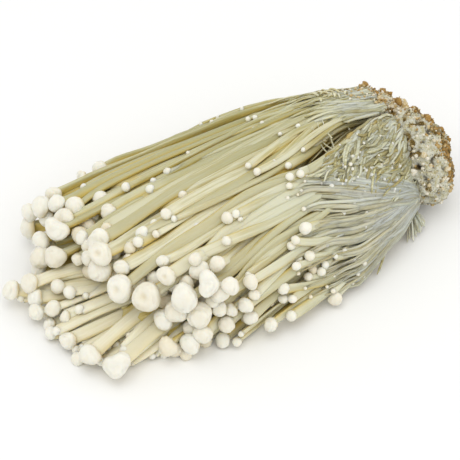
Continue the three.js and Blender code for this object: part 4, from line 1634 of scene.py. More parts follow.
        # deep, under, in_cleft and the back tint carry painted shade.
        return {"matted": matted, "grain": grain, "deep": deep, "near_cap": near_cap, "under": under,
                "tone": np.full(count, chance.uniform()), "cool": np.clip(cool, 0, 1) * 0.9,
                "back_shade": back_shade, "in_cleft": 0.85 * self.form.in_cleft(points)}

    def stem_deep(self, m: Mushroom, rings: Array, course: StemCourse, stem: StemShape) -> Array:
        """Work out how much painted golden shade each point of the stem gets.

        Args:
            m: The mushroom.
            rings: All rings, stem then cap.
            course: The stem's course.
            stem: The stem's shape.

        Returns:
            From 0 to 1, for each point of the stem.
        """
        sides = rings.shape[1]
        # Painted shade: golden on the inward sides and where the stem is hidden from light, less near the
        # root at the back.
        inward = smooth_step(0.8, -0.25, stem.local_out).ravel()
        crowded, buried = (0.4, 0.6) if m.part == Part.FAN else (0.75, 1.0)
        deep = np.repeat(course.hidden, sides) * buried * (0.3 + 0.7 * inward) + crowded * inward
        near_x, beyond_y = self.less_shade_from_mm
        first = rings[:len(course.stations)]
        less_shade = np.repeat(first[:, 0, 0] > near_x, sides) & (first[:, :, 1].ravel() > beyond_y)
        deep[less_shade] *= self.less_shade_share
        return np.clip(deep, 0, 1)


@dataclass
class LightInside:
    """How far daylight gets into the bunch, from counting what stands in its way."""

    cell_mm: float = 2.0
    reach_mm: float = 12.0
    first_mm: float = 1.6
    steps: int = 6
    rays: int = 26
    strength: float = 0.34
    below_level: float = 0.25
    sky_weight: float = 0.25
    open_at: float = 0.30
    closed_at: float = 0.03

    def hidden(self, lines: Array) -> Array:
        """Measure how hidden each point of the stems' lines is.

        Args:
            lines: Stems by points by x, y, z.

        Returns:
            From 0 in full light to 1 deep inside, stems by points.
        """
        points = lines.reshape(-1, 3)
        low = points.min(0) - self.reach_mm - 2
        shape = ((points.max(0) + self.reach_mm + 2 - low) / self.cell_mm).astype(int) + 1
        filled = np.zeros(shape)
        between = refine(lines, (0.0, 0.33, 0.66))
        cells = ((between.reshape(-1, 3) - low) / self.cell_mm).astype(int)
        np.add.at(filled, tuple(cells.T), 0.5)
        filled = np.minimum(filled, 1.0)
        turn = math.pi * (3 - math.sqrt(5))
        light = np.zeros(len(points))
        total = 0.0
        for i in range(self.rays):
            z = 1 - (1 + self.below_level) * (i + 0.5) / self.rays
            flat = math.sqrt(max(0.0, 1 - z * z))
            way = np.array([math.cos(i * turn) * flat, math.sin(i * turn) * flat, z])
            weight = self.sky_weight + max(z, 0.0)
            blocked = np.zeros(len(points))
            for step in range(1, self.steps + 1):
                at = points + way * (self.first_mm + self.reach_mm * step / self.steps)
                cell = ((at - low) / self.cell_mm).astype(int)
                blocked += filled[tuple(np.clip(cell, 0, shape - 1).T)]
            light += weight * np.exp(-self.strength * 2 * blocked)
            total += weight
        light /= total
        return smooth_step(self.open_at, self.closed_at, light).reshape(lines.shape[:2])


@dataclass
class HeightMap:
    """How high the settled stems stand over each spot of the floor."""

    low_mm: Pair = (-142.0, -52.0)
    cell_mm: Pair = (2.0, 1.2)
    cells: tuple[int, int] = (72, 88)
    heights: Array | None = None

    def measure(self, lines: Array, radius: Array) -> "HeightMap":
        """Measure it.

        Args:
            lines: Stems by points by x, y, z.
            radius: The radius at each point.

        Returns:
            This map.
        """
        between = refine(lines, (0.0, 0.25, 0.5, 0.75))
        size = np.concatenate([radius[:, :-1]] * 4, 1)
        heights = np.zeros(self.cells)
        for aside, lift in ((0.0, 0.8), (-0.7, 0.5), (0.7, 0.5)):
            place = between + np.stack([0 * size, aside * size, lift * size], -1)
            cell = ((place[..., :2] - self.low_mm) / self.cell_mm).astype(int).reshape(-1, 2)
            cell = np.clip(cell, 0, np.array(self.cells) - 1)
            np.maximum.at(heights, (cell[:, 0], cell[:, 1]), place[..., 2].ravel())
        for choose in (np.max, np.min, np.mean):
            heights = choose(nearby(heights), 0)
        self.heights = heights
        return self

    def at(self, x: Array, y: Array) -> Array:
        """Read the heights over points of the floor."""
        u = np.clip((x - self.low_mm[0]) / self.cell_mm[0] - 0.5, 0, self.cells[0] - 1.01)
        v = np.clip((y - self.low_mm[1]) / self.cell_mm[1] - 0.5, 0, self.cells[1] - 1.01)
        return read_grid(self.heights, u, v)


def fused_body(roof: Array, ground_z: Array, form: BunchForm, deep: float) -> Patch:
    """Make one body of fused stems between an upper side and a lower one.

    Args:
        roof: Points of the upper side, by rows along the bunch and columns across it.
        ground_z: Heights of the lower side under them.
        form: The bunch's form.
        deep: How much painted golden shade its flesh gets.

    Returns:
        The patch, with the values that stems have.
    """
    ground = roof.copy()
    ground[..., 2] = ground_z
    rings = np.concatenate([roof, ground[:, ::-1]], 1)
    points = rings.reshape(-1, 3)
    faces = loft(rings)
    zero = np.zeros(len(points))
    near_root = smooth_step(-40.0, -20.0, points[:, 0])
    less_shade = smooth_step(-115.0, -75.0, points[:, 0]) * smooth_step(-10.0, 2.0, points[:, 1])
    # Painted shade: golden, less by the root and at the back.
    golden = deep * (1 - 0.5 * near_root) * (1 - 0.7 * less_shade)
    grain = points * np.array([ALONG_GRAIN, 1, 1])
    values = {"matted": smooth_step(*MATTED_ALONG_MM, points[:, 0]), "grain": grain, "deep": golden,
              "near_cap": zero, "under": zero, "tone": zero + 0.5, "cool": 0.35 * less_shade,
              "back_shade": zero + 0.3, "in_cleft": form.in_cleft(points)}
    return Patch(points, faces, [0] * len(faces), values)


@dataclass(frozen=True)
class Core:
    """The fused stems inside the bunch, as one fluted body under the outer stems."""

    form: BunchForm
    below_mm: float = 1.1
    back_rise_mm: float = 0.8
    inset_mm: float = 4.2
    first_mm: float = -7.0
    last_mm: tuple[float, ...] = (-44, -57, -80, -97, -106, -97, -80)
    fan_from_mm: float = -66.0
    fan_room_mm: float = 9.0
    columns: int = 150
    rows: int = 70
    flute_mm: float = 0.5
    widest_share: float = 0.98
    tapers_from: float = 0.86
    taper: float = 0.7
    groove_share: float = 0.06
    thinnest_mm: float = 0.5
    floor_mm: float = 1.0
    # Painted golden shade of the core.
    deep: float = 0.75

    def patch(self, heights: HeightMap) -> Patch:
        """Build the body.

        Args:
            heights: How high the settled stems stand.

        Returns:
            Its patch.
        """
        kept = np.linspace(-self.widest_share, self.widest_share, self.columns)
        last = np.interp(kept, self.form.share, self.last_mm)
        t = np.linspace(0, 1, self.rows)[:, None]
        x = self.first_mm + (last - self.first_mm)[None] * t
        kept = np.repeat(kept[None], self.rows, 0)
        share = self.form.share_at(kept, x)
        middle, half = self.form.middle_and_half(x)
        near = self.form.near_cleft(kept, x)
        z = self.form.top(x, share) + self.form.lip(kept) * near
        y = middle + share * (half - self.inset_mm)
        y += self.form.cleft_slant * (self.form.cleft_height_mm - z) * near
        y = np.clip(y, self.form.side_front_mm + self.inset_mm, self.form.side_back(x) - self.inset_mm)
        z = np.minimum(z, heights.at(x, y)) - self.below_mm + self.back_rise_mm * smooth_step(0.0, 12.0, y)
        flutes = bumps(np.stack([kept.ravel() * 40, x.ravel() * 0.03, 0 * x.ravel()], -1), 2.2, 61)
        z += self.flute_mm * flutes.reshape(z.shape)
        z = z * (1 - smooth_step(self.tapers_from, 1.0, t) * self.taper)
        groove = np.exp(-(((kept - self.form.cleft_share - 0.02) / self.groove_share) ** 2))
        groove = groove * smooth_step(0.05, 0.5, self.form.parting(x))
        z = np.maximum(z + (self.form.cleft_floor_mm - z) * groove, self.floor_mm + self.thinnest_mm)
        over_fan = smooth_step(self.fan_from_mm, self.fan_from_mm - 14, x) * smooth_step(14.0, 6.0, y)
        ground_z = np.minimum(self.floor_mm + self.fan_room_mm * over_fan, z - self.thinnest_mm)
        return fused_body(np.stack([x, y, z], -1), ground_z, self.form, self.deep)


@dataclass(frozen=True)
class FanBed:
    """The stems low in the fan, fused to one thin bed under those on top."""

    form: BunchForm
    first_mm: float = -64.0
    short_mm: float = 12.0
    narrowed: float = 0.86
    below_mm: float = 0.4
    floor_mm: float = 0.4
    # Painted golden shade of the bed.
    deep: float = 0.5
    columns: int = 70
    rows: int = 26

    def patch(self, lines: Array, heights: HeightMap) -> Patch:
        """Build the bed.

        Args:
            lines: The settled lines of the fan's stems.
            heights: How high they stand.

        Returns:
            Its patch.
        """
        order = np.argsort(lines[:, -1, 1])
        tips = lines[order, -1]
        first_y = np.array([np.interp(-self.first_mm, -line[:, 0], line[:, 1]) for line in lines[order]])
        rank = np.linspace(0, len(order) - 1, self.columns)
        spread = np.arange(len(order))
        calm = np.convolve(np.pad(tips[:, 0], 4, mode="edge"), np.ones(9) / 9, mode="valid")
        last_x = np.interp(rank, spread, np.maximum(calm, tips[:, 0])) + self.short_mm
        last_y = np.interp(rank, spread, tips[:, 1])
        last_y = last_y.mean() + self.narrowed * (last_y - last_y.mean())
        near_y = np.interp(rank, spread, np.sort(first_y))
        t = np.linspace(0, 1, self.rows)[:, None]
        x = self.first_mm + (last_x - self.first_mm)[None] * t
        y = near_y[None] + (last_y - near_y)[None] * t
        z = np.maximum(heights.at(x, y) - self.below_mm, self.floor_mm + 0.3)
        return fused_body(np.stack([x, y, z], -1), np.full(z.shape, self.floor_mm), self.form, self.deep)


@dataclass
class Bunch:
    """The mushrooms, singly and in tufts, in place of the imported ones."""

    grove: Grove
    maker: MushroomMaker
    light: LightInside
    stem: bpy.types.Material
    skin: bpy.types.Material

    def build(self) -> tuple[Array, Array]:
        """Build all pieces.

        Returns:
            The settled lines of the stems, and the radius at each point.
        """
        chance = random.Random(self.grove.seed)
        self.grove.gather_shown()
        self.grove.gather_fillers(chance)
        self.grove.fill_fan(chance)
        self.grove.shape_stems(chance)
        lines, radius = self.grove.lay()
        deep = self.light.hidden(lines)
        tufts: dict[str, list[Patch]] = {place.node: [] for place in TUFTS}
        form = self.grove.form
        in_fan = np.array([m.part == Part.FAN for m in self.grove.mushrooms])
        heights = HeightMap().measure(lines[~in_fan], radius[~in_fan])
        tufts["tuft_core"].append(Core(form).patch(heights))
        fan_heights = HeightMap().measure(lines[in_fan], radius[in_fan])
        tufts["tuft_floor_fan"].append(FanBed(form).patch(lines[in_fan], fan_heights))
        for i, m in enumerate(self.grove.mushrooms):
            patch = self.maker.build(m, lines[i], radius[i], deep[i])
            if m.node:
                piece = make_piece(m.node.replace("mushroom", "enoki"), [patch], [self.stem, self.skin])
                self.fit(piece, m.node, "mushroom")
            else:
                tufts[self.tuft_of(m)].append(patch)
        for node, patches in tufts.items():
            if patches:
                piece = make_piece(node.replace("tuft", "stems"), patches, [self.stem, self.skin])
                self.fit(piece, node, "stems")
                LOG.info("%s: %d mushrooms", piece.name, len(patches))
        LOG.info("bunch: %d mushrooms", len(self.grove.mushrooms))
        return lines, radius

    @staticmethod
    def tuft_of(m: Mushroom) -> str:
        """Name the tuft that a mushroom belongs to."""
        if m.part == Part.FAN:
            return "tuft_floor_fan"
        gaps = [(m.across - t.across) ** 2 + (0.55 * (min(m.up, 1.0) - t.up)) ** 2 for t in TUFTS]
        return TUFTS[gaps.index(min(gaps))].node

    @staticmethod
    def fit(piece: bpy.types.Object, node: str, slot: str) -> None:
        """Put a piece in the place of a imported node."""
        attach(piece, "root")
        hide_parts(node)


# ---------------------------------------------------------------- root block
def lump(middle: Array, radius: Array, roughness: float, seed: int, detail: int = 2) -> Patch:
    """Make one irregular lump.

    Args:
        middle: Its middle.
        radius: Its half sizes.
        roughness: How far its skin strays, as a share of its size.
        seed: Which pattern it strays by.
        detail: How finely it is divided.

    Returns:
        The patch, without values.
    """
    ball = bpy.data.meshes.get(f"ball_{detail}")
    if ball is None:
        ball = bpy.data.meshes.new(f"ball_{detail}")
        work = bmesh.new()
        bmesh.ops.create_icosphere(work, subdivisions=detail, radius=1.0)
        work.to_mesh(ball)
        work.free()
    around = np.array([v.co for v in ball.vertices])
    faces = [tuple(p.vertices) for p in ball.polygons]
    stray = 1 + roughness * (bumps(around, 0.9, seed) + 0.5 * bumps(around, 0.4, seed + 7))
    return Patch(middle + around * stray[:, None] * radius, faces, [0] * len(faces), {})


@dataclass
class Lobe:
    """One round part of the root block."""

    middle: Triple
    half: Triple


@dataclass(frozen=True)
class Heap:
    """A heap of crumbs on top of the root block, and crumbs caught on the stems beside it.

    The peak is where its biggest crumb lies, in half sizes from the middle.
    """

    name: str
    node: str
    middle: Triple
    half: Triple
    peak: Triple
    seed: int
    caught: int
    caught_along_mm: Pair
    caught_deg: Pair
    caught_seed: int


HEAPS = (
    Heap("crumbs_back", "substrate_crumb_back", middle=(-4.6, 15.3, 25.8), half=(4.8, 4.2, 1.9),
         peak=(0.25, 0.4, 1.15), seed=900, caught=70, caught_along_mm=(-13.5, -3.5),
         caught_deg=(108.0, 134.0), caught_seed=900),
    Heap("crumbs_top", "substrate_crumb_top", middle=(0.8, 4.0, 28.0), half=(4.4, 4.4, 1.9),
         peak=(0.1, -0.1, 0.9), seed=1200, caught=22, caught_along_mm=(-7.5, -3.5),
         caught_deg=(96.0, 108.0), caught_seed=901),
)


@dataclass
class RootBlock:
    """The cut foot of the bunch: a mat of white threads on the growing medium."""

    mat: bpy.types.Material
    sawdust: bpy.types.Material
    lobes: tuple[Lobe, ...] = (Lobe((0.9, -7.7, 15.0), (10.7, 17.2, 14.8)),
                               Lobe((-1.5, 10.0, 12.6), (9.2, 12.6, 12.6)))
    voxel_mm: float = 0.5
    swell_mm: float = 6.0
    clump_mm: float = 3.2
    grain_mm: float = 1.5
    grit_mm: float = 0.8
    swell_rise_mm: float = 1.3
    clump_rise_mm: float = 1.3
    grain_rise_mm: float = 0.9
    grit_rise_mm: float = 0.4
    cut_mm: float = -9.5
    crevice_along_mm: Pair = (-2.5, -5.5)
    crevice_across_mm: Pair = (2.0, -0.5)
    crevice_height_mm: Pair = (18.0, 23.0)
    crevice_depth_mm: float = 0.5
    rim_along_mm: Pair = (2.0, 7.5)
    rim_height_mm: Pair = (9.0, 16.0)
    crest_height_mm: Pair = (22.0, 26.0)
    crest_across_mm: Pair = (-3.0, 5.0)
    low_grey_height_mm: Pair = (13.0, 5.0)
    lowest_grey: float = 0.75
    crumbs: int = 1500
    crumb_shape: float = 2.4
    crumb_scale_mm: float = 0.13
    least_crumb_mm: float = 0.22
    biggest_crumb_mm: float = 1.4
    fine_crumb_from_mm: float = 1.2
    pale_tone: float = 0.86
    browner: float = 0.42
    tone_spread: float = 0.2
    heap_crumbs: int = 90
    heap_crumb_mm: Pair = (0.25, 0.8)
    heap_tone: float = 0.5
    dusted_share: float = 0.7
    dusted_tone: float = 0.9
    peak_crumb_mm: float = 1.3
    peak_tone: float = 0.46
    caught_crumb_mm: Pair = (0.25, 0.7)
    caught_tone: float = 0.72
    seed: int = 21
    skin: bpy.types.Object | None = None

    def join_lobes(self) -> bpy.types.Mesh:
        """Join the lobes under one even skin.

        Returns:
            The skin's mesh, in metres.
        """
        patches = [lump(np.array(lobe.middle), np.array(lobe.half), 0.05, i, 4)
                   for i, lobe in enumerate(self.lobes)]
        rough = make_piece("root_form", patches, [])
        remesh = rough.modifiers.new("skin", "REMESH")
        remesh.mode = "VOXEL"
        remesh.voxel_size = self.voxel_mm * MM
        joined = bpy.data.meshes.new_from_object(rough.evaluated_get(bpy.context.evaluated_depsgraph_get()))
        bpy.data.objects.remove(rough)
        return joined

    def block(self) -> bpy.types.Object:
        """Build the matted block.

        Returns:
            Its piece.
        """
        joined = self.join_lobes()
        points = np.array([v.co for v in joined.vertices]) / MM
        normals = np.array([v.normal for v in joined.vertices])
        clumps = 0.5 - np.abs(bumps(points, self.clump_mm, 2)) * 2.2
        grains = 0.35 - np.abs(bumps(points, self.grain_mm, 3)) * 1.7
        grit = 0.3 - np.abs(bumps(points, self.grit_mm, 6)) * 1.5
        relief = self.swell_rise_mm * bumps(points, self.swell_mm, 1) + self.clump_rise_mm * clumps
        relief = relief + self.grain_rise_mm * grains + self.grit_rise_mm * grit
        crevice = smooth_step(*self.crevice_along_mm, points[:, 0])
        crevice *= smooth_step(*self.crevice_across_mm, points[:, 1])
        crevice *= smooth_step(*self.crevice_height_mm, points[:, 2])
        points = points + normals * (relief - self.crevice_depth_mm * crevice)[:, None]
        points[:, 2] = np.maximum(points[:, 2], 0.0)
        points[:, 0] = np.maximum(points[:, 0], self.cut_mm)
        rim = smooth_step(*self.rim_along_mm, points[:, 0] + 3.0 * bumps(points, 4.0, 4))
        rim *= smooth_step(*self.rim_height_mm, points[:, 2] + 4.0 * bumps(points, 5.0, 8))
        crest = smooth_step(*self.crest_height_mm, points[:, 2] + 3.0 * bumps(points, 3.5, 5))
        crest *= smooth_step(*self.crest_across_mm, points[:, 1])
        bran = smooth_step(0.05, 0.4, bumps(points, 3.0, 9))
        stain = np.clip(0.75 * rim + 0.4 * crest + 0.75 * bran, 0, 1)
        stain = stain - 0.5 * smooth_step(-0.4, 1.4, relief)
        # Greyer towards the bottom of the block.
        low_grey_mask = smooth_step(*self.low_grey_height_mm, points[:, 2] + 3.0 * bumps(points, 4.0, 10))
        # Painted shade: dark in the hollows of the relief and in the crevice.
        pit_shade = np.clip(smooth_step(-0.4, -1.5, relief) * 0.85 + 0.3 * crevice, 0, 1)
        values = {"grain": points.copy(), "stain": stain, "pit_shade": pit_shade, "low_grey": low_grey_mask * self.lowest_grey}
        faces = [tuple(p.vertices) for p in joined.polygons]
        piece = make_piece("root_mat", [Patch(points, faces, [0] * len(faces), values)], [self.mat])
        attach(piece, "root")
        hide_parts("root_block")
        LOG.info("root_mat: %d points", len(points))
        self.skin = piece
        return piece

    def crumb_patch(self, middle: Array, size: float, tone: float, seed: int) -> Patch:
        """Make one crumb of sawdust.

        Args:
            middle: Its middle.
            size: Its half size.
            tone: Its place on the scale of browns, from 0 to 1.
            seed: Which shape it has.

        Returns:
            The patch.
        """
        chance = np.random.default_rng(seed)
        detail = 1 if size < self.fine_crumb_from_mm else 2
        patch = lump(middle, size * chance.uniform(0.65, 1.25, size=3), 0.5, seed, detail)
        count = len(patch.points)
        patch.values = {"grain": patch.points.copy(), "tone": np.full(count, tone)}
        patch.points[:, 2] = np.maximum(patch.points[:, 2], 0.0)
        return patch

    def crust(self) -> bpy.types.Object:
        """Strew crumbs over the outer side of the block.

        Returns:
            Their piece.
        """
        chance = np.random.default_rng(self.seed)
        places = np.array([p.center for p in self.skin.data.polygons]) / MM
        facing = np.array([p.normal for p in self.skin.data.polygons])
        top_back = smooth_step(20.0, 25.0, places[:, 2]) * smooth_step(-4, 3, places[:, 1])
        rim = smooth_step(1.0, 7.0, places[:, 0] + 2.5 * bumps(places, 4.0, 4))
        rim *= smooth_step(7.0, 14.0, places[:, 2])
        weight = (0.3 + rim + 1.2 * top_back) * (facing[:, 2] > -0.5) * (places[:, 0] > -7.5)
        chosen = chance.choice(len(places), self.crumbs, p=weight / weight.sum())
        patches = []
        for i, n in enumerate(chosen):
            brown = rim[n] + 0.35 * top_back[n]
            size = float(chance.gamma(self.crumb_shape, self.crumb_scale_mm)) + self.least_crumb_mm
            mixed = chance.normal(self.pale_tone - self.browner * brown, self.tone_spread)
            tone = float(np.clip(mixed, 0, 1))
            at = places[n] + facing[n] * size * 0.1
            patches.append(self.crumb_patch(at, min(size, self.biggest_crumb_mm), tone, i + 50))
        piece = make_piece("sawdust_crust", patches, [self.sawdust])
        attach(piece, "root")
        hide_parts("substrate_crust")
        LOG.info("sawdust_crust: %d crumbs", len(patches))
        return piece

    def heap(self, heap: Heap, caught: Array) -> bpy.types.Object:
        """Build one of the two heaps of crumbs on top of the block.

        Args:
            heap: The heap.
            caught: Places of the crumbs caught beside it.

        Returns:
            Its piece.
        """
        name, node, seed = heap.name, heap.node, heap.seed
        chance = np.random.default_rng(seed)
        middle, half = np.array(heap.middle), np.array(heap.half)
        peak = middle + half * np.array(heap.peak)
        patches = [self.crumb_patch(peak, self.peak_crumb_mm, self.peak_tone, seed + 500)]
        for i, at in enumerate(caught):
            tone = float(np.clip(chance.normal(self.caught_tone, self.tone_spread), 0, 1))
            size = float(chance.uniform(*self.caught_crumb_mm))
            patches.append(self.crumb_patch(at, size, tone, seed + 600 + i))
        for i in range(self.heap_crumbs):
            way = unit(chance.normal(size=3))
            way[2] = abs(way[2]) * 0.8 - 0.2
            at = middle + way * half * chance.uniform(0.2, 0.95)
            dusted = chance.uniform() < self.dusted_share
            mixed = chance.normal(self.dusted_tone, 0.08) if dusted else chance.normal(self.heap_tone, 0.16)
            size, tone = float(chance.uniform(*self.heap_crumb_mm)), float(np.clip(mixed, 0, 1))
            patches.append(self.crumb_patch(at, size, tone, seed + i))
        piece = make_piece(name, patches, [self.sawdust])
        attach(piece, "root")
        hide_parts(node)
        LOG.info("%s: %d crumbs", name, len(patches))
        return piece


# ---------------------------------------------------------------- pins and threads
@dataclass
class Shell:
    """The outer skin of the bunch, felt round the settled stems.

    An angle of 0 points to the front, 90 up and 180 to the back.
    """

    form: BunchForm
    middle_height_mm: float = 9.0
    column_mm: float = 3.0
    columns: int = 46
    angle_step_deg: float = 5.0
    turns: int = 48
    first_angle_deg: float = -25.0
    least_reach_mm: float = 6.0
    closed_columns: int = 13
    reach: Array | None = None

    def feel(self, lines: Array, radius: Array) -> None:
        """Measure how far the stems reach in each direction, along the bunch.

        Args:
            lines: Stems by points by x, y, z.
            radius: The radius at each point.
        """
        points = refine(lines, (0.0, 0.5)).reshape(-1, 3)
        sizes = np.concatenate([radius[:, :-1], radius[:, :-1]], 1).ravel()
        middle, _ = self.form.middle_and_half(points[:, 0])
        out, up = -(points[:, 1] - middle), points[:, 2] - self.middle_height_mm
        angle = np.degrees(np.arctan2(up, out))
        row = np.clip((-points[:, 0] / self.column_mm).astype(int), 0, self.columns - 1)
        column = ((angle - self.first_angle_deg) / self.angle_step_deg).astype(int)
        reach = np.full((self.columns, self.turns), self.least_reach_mm)
        np.maximum.at(reach, (row, np.clip(column, 0, self.turns - 1)), np.hypot(out, up) + sizes)
        reach[:3] = reach[3]
        reach[:self.closed_columns] = np.max(nearby(reach), axis=0)[:self.closed_columns]
        for _ in range(2):
            wide = np.pad(reach, 1, mode="edge")
            beside = wide[:-2, 1:-1] + wide[2:, 1:-1] + wide[1:-1, :-2] + wide[1:-1, 2:]
            reach = 0.5 * reach + 0.125 * beside
        self.reach = reach

    def point(self, x: Array, angle: Array, lift: Array) -> Array:
        """Find points on the skin, or off it.

        Args:
            x: Places along the bunch.
            angle: Angles round it, in degrees.
            lift: Heights over the skin.

        Returns:
            The points.
        """
        row = np.clip(-x / self.column_mm - 0.5, 0, self.columns - 1.001)
        column = (angle - self.first_angle_deg) / self.angle_step_deg - 0.5
        reach = read_grid(self.reach, row, np.clip(column, 0, self.turns - 1.001)) + lift
        turn = np.radians(angle)
        middle, _ = self.form.middle_and_half(x)
        y, z = middle - reach * np.cos(turn), self.middle_height_mm + reach * np.sin(turn)
        return np.stack([x, y, z], -1)

    def scatter(self, count: int, along: Pair, round_deg: Pair, seed: int) -> Array:
        """Choose places on the skin, closer together towards the root.

        Args:
            count: How many.
            along: From where to where along the bunch.
            round_deg: From which angle to which.
            seed: The seed of chance.

        Returns:
            The places.
        """
        chance = np.random.default_rng(seed)
        x = along[1] + (along[0] - along[1]) * chance.uniform(size=count) ** 1.6
        angle = chance.uniform(*round_deg, size=count)
        return self.point(x, angle, chance.uniform(-0.6, 0.3, size=count))


@dataclass
class Pins:
    """Stunted mushrooms and loose threads that lie tangled on the bunch by the root."""

    shell: Shell
    stem: bpy.types.Material
    skin: bpy.types.Material
    ribbons: int = 920
    under_share: float = 0.36
    ribbon_start_mm: Pair = (-39.0, -3.5)
    ribbon_long_mm: Pair = (5.0, 13.0)
    ribbon_half_mm: Pair = (0.26, 0.74)
    ribbon_end_mm: float = -3.0
    heading_sway: float = 0.17
    lock_sway: float = 0.75
    free_share: float = 0.22
    free_rise_mm: Pair = (0.5, 1.3)
    headed_share: float = 0.11
    head_mm: Pair = (0.3, 0.75)
    band_ribbons: int = 80
    band_start_mm: Pair = (-14.0, -4.0)
    band_deg: Pair = (84.0, 134.0)
    band_long_mm: Pair = (11.0, 24.0)
    band_half_mm: Pair = (0.6, 1.15)
    band_behind_cleft_mm: float = 0.8
    curls: int = 16
    curl_middle_mm: float = -16.0
    curl_spread_mm: float = 2.6
    curl_deg: Pair = (118.0, 131.0)
    curl_long_mm: Pair = (1.8, 4.0)
    curl_half_mm: Pair = (0.35, 0.65)
    strands: int = 290
    strand_start_mm: float = -7.0
    strand_short_mm: float = 16.0
    strand_longer_mm: float = 36.0
    strand_last_deg: Pair = (-10.0, 70.0)
    strand_half_mm: Pair = (0.4, 0.95)
    strand_headed_share: float = 0.12
    strand_head_mm: Pair = (0.4, 0.9)
    cleft_threads: int = 200
    cleft_start_mm: Pair = (-22.0, -8.0)
    cleft_long_mm: Pair = (12.0, 24.0)
    cleft_height_mm: Pair = (15.0, 27.0)
    cleft_half_mm: Pair = (0.16, 0.42)
    bridges: int = 9
    bridge_at_mm: Pair = (-40.0, -15.0)
    bridge_sag_mm: Pair = (0.8, 3.0)
    bridge_half_mm: Pair = (0.2, 0.34)
    strips: int = 24
    strip_at: Triple = (0.0, 0.6, 1.0)
    strip_long_mm: Triple = (3.6, 5.2, 9.0)
    strip_half_mm: Pair = (0.35, 0.7)
    loose_from_mm: Triple = (-23.5, -29.0, 9.0)
    loose_to_mm: Triple = (-28.7, -35.5, 0.5)
    corner_mm: Triple = (-6.8, -22.3, 5.0)
    fan_from_mm: float = -7.5
    fan_deg: Pair = (16.0, 52.0)
    fan_open_mm: float = 38.0
    girth_mm: float = 24.0
    curl_girth_mm: float = 22.0
    last_angle_deg: float = 112.0
    lock_mm: float = 7.0
    patch_mm: float = 4.5
    pale_at: Pair = (-10.0, 90.0)
    pale_reach: Pair = (7.0, 17.0)
    root_dip_mm: float = 2.2
    tuft_mm: float = 3.2
    tuft_rise_mm: float = 0.8
    along_grain: float = 0.05
    sides: int = 6
    rings: int = 10
    seed: int = 31

    def thread(self, line: Array, wide: float, thin: float, head: float, **look: float) -> Patch:
        """Draw one pin, or a bare thread where it has no head.

        Args:
            line: Its middle line.
            wide: Half its width.
            thin: Half its thickness.
            head: Its head's radius, or 0.
            **look: Values that its finish reads, where they aren't the usual ones.

        Returns:
            The patch.
        """
        tangent = unit(np.gradient(line, axis=0))
        middle, _ = self.shell.form.middle_and_half(line[:, 0])
        over = line[:, 2] - self.shell.middle_height_mm
        out = np.stack([np.zeros(len(line)), line[:, 1] - middle, over], -1)
        side = unit(np.cross(tangent, out))
        out = np.cross(side, tangent)
        angle = np.linspace(0, 2 * math.pi, self.sides, endpoint=False)
        across = side[:, None] * (wide * np.cos(angle))[None, :, None]
        around = across - out[:, None] * (thin * np.sin(angle))[None, :, None]
        size = 1 - 0.3 * np.linspace(0, 1, len(line)) ** 2
        if not head:
            size[-1] *= 0.3
        rings = [line[:, None] + around * size[:, None, None]]
        slots = [0] * ((len(line) - 1) * self.sides)
        if head:
            lift = np.array([-0.75, -0.3, 0.3, 0.75, 0.97])
            level = np.sqrt(1 - lift**2)
            centre = line[-1] + tangent[-1] * head * 0.6
            spoke = side[-1][None] * np.cos(angle)[:, None] - out[-1][None] * np.sin(angle)[:, None]
            lifted = centre + tangent[-1] * (lift * head)[:, None, None]
            rings.append(lifted + spoke[None] * (level * head)[:, None, None])
            slots += [1] * (len(lift) * self.sides)
        joined = np.concatenate(rings)
        slots += [0, 1 if head else 0]
        points = joined.reshape(-1, 3)
        points[:, 2] = np.maximum(points[:, 2], 0.02)
        usual = {"matted": 0.0, "deep": 0.0, "near_cap": 0.0, "under": 0.0, "tone": 0.5, "cool": 0.5,
                 "back_shade": 0.5, "in_cleft": 0.0} | look
        values = {name: np.full(len(points), float(value)) for name, value in usual.items()}
        # Painted shade: golden on each thread's inward side.
        inward = 0.7 * smooth_step(0.35, -0.6, -np.sin(angle))
        values["deep"] = np.clip(values["deep"] + np.tile(inward, len(joined)), 0, 1)
        values["grain"] = points * np.array([self.along_grain, 1, 1]) + line.sum()
        return Patch(points, loft(joined), slots, values)

    def place(self, name: str, patches: list[Patch]) -> None:
        """Make a piece of threads that rides on the root.

        Args:
            name: The piece's name.
            patches: The threads.
        """
        piece = make_piece(name, patches, [self.stem, self.skin])
        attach(piece, "root")
        LOG.info("%s: %d", name, len(patches))

    def fan_edge(self, x: float) -> float:
        """Give the angle that the front fan of strands reaches up to, at a place along the bunch."""
        first, more = self.fan_deg
        return first + more * min(max(self.fan_from_mm - x, 0.0) / self.fan_open_mm, 1.0) ** 0.8

    @staticmethod
    def course(start: float, angle: float, heading: float, way: Array, girth: float) -> tuple[Array, Array]:
        """Lead a thread over the bunch's skin.

        Args:
            start: Where along the bunch it starts.
            angle: At which angle round the bunch.
            heading: How it is turned from straight along the bunch, in radians.
            way: Distances along the thread.
            girth: How far out from the bunch's middle it lies.

        Returns:
            Places along the bunch and angles round it.
        """
        return start - way * math.cos(heading), angle + np.degrees(way * math.sin(heading) / girth)

    def cleft_edge(self, line: Array, side: int) -> Array:
        """Give the Y of the cleft's front edge (side -1) or back edge (side 1) by a line's points."""
        form = self.shell.form
        half = 0.5 * form.cleft_width_mm * form.parting(line[:, 0])
        return form.cleft_middle(line[:, 0], line[:, 2]) + side * half

    def in_front(self, line: Array, room: float) -> bool:
        """Tell whether a line stays on the front side of the cleft, with some room."""
        return bool((line[:, 1] < self.cleft_edge(line, -1) - room).all())

    def tangle(self) -> None:
        """Lay ribbons over the bunch by the root, in locks that lie the same way."""
        chance = np.random.default_rng(self.seed)
        patches = []
        while len(patches) < self.ribbons:
            ribbon = self.ribbon(chance, len(patches) < self.under_share * self.ribbons)
            if ribbon:
                patches.append(ribbon)
        self.place("ribbons_front", patches)

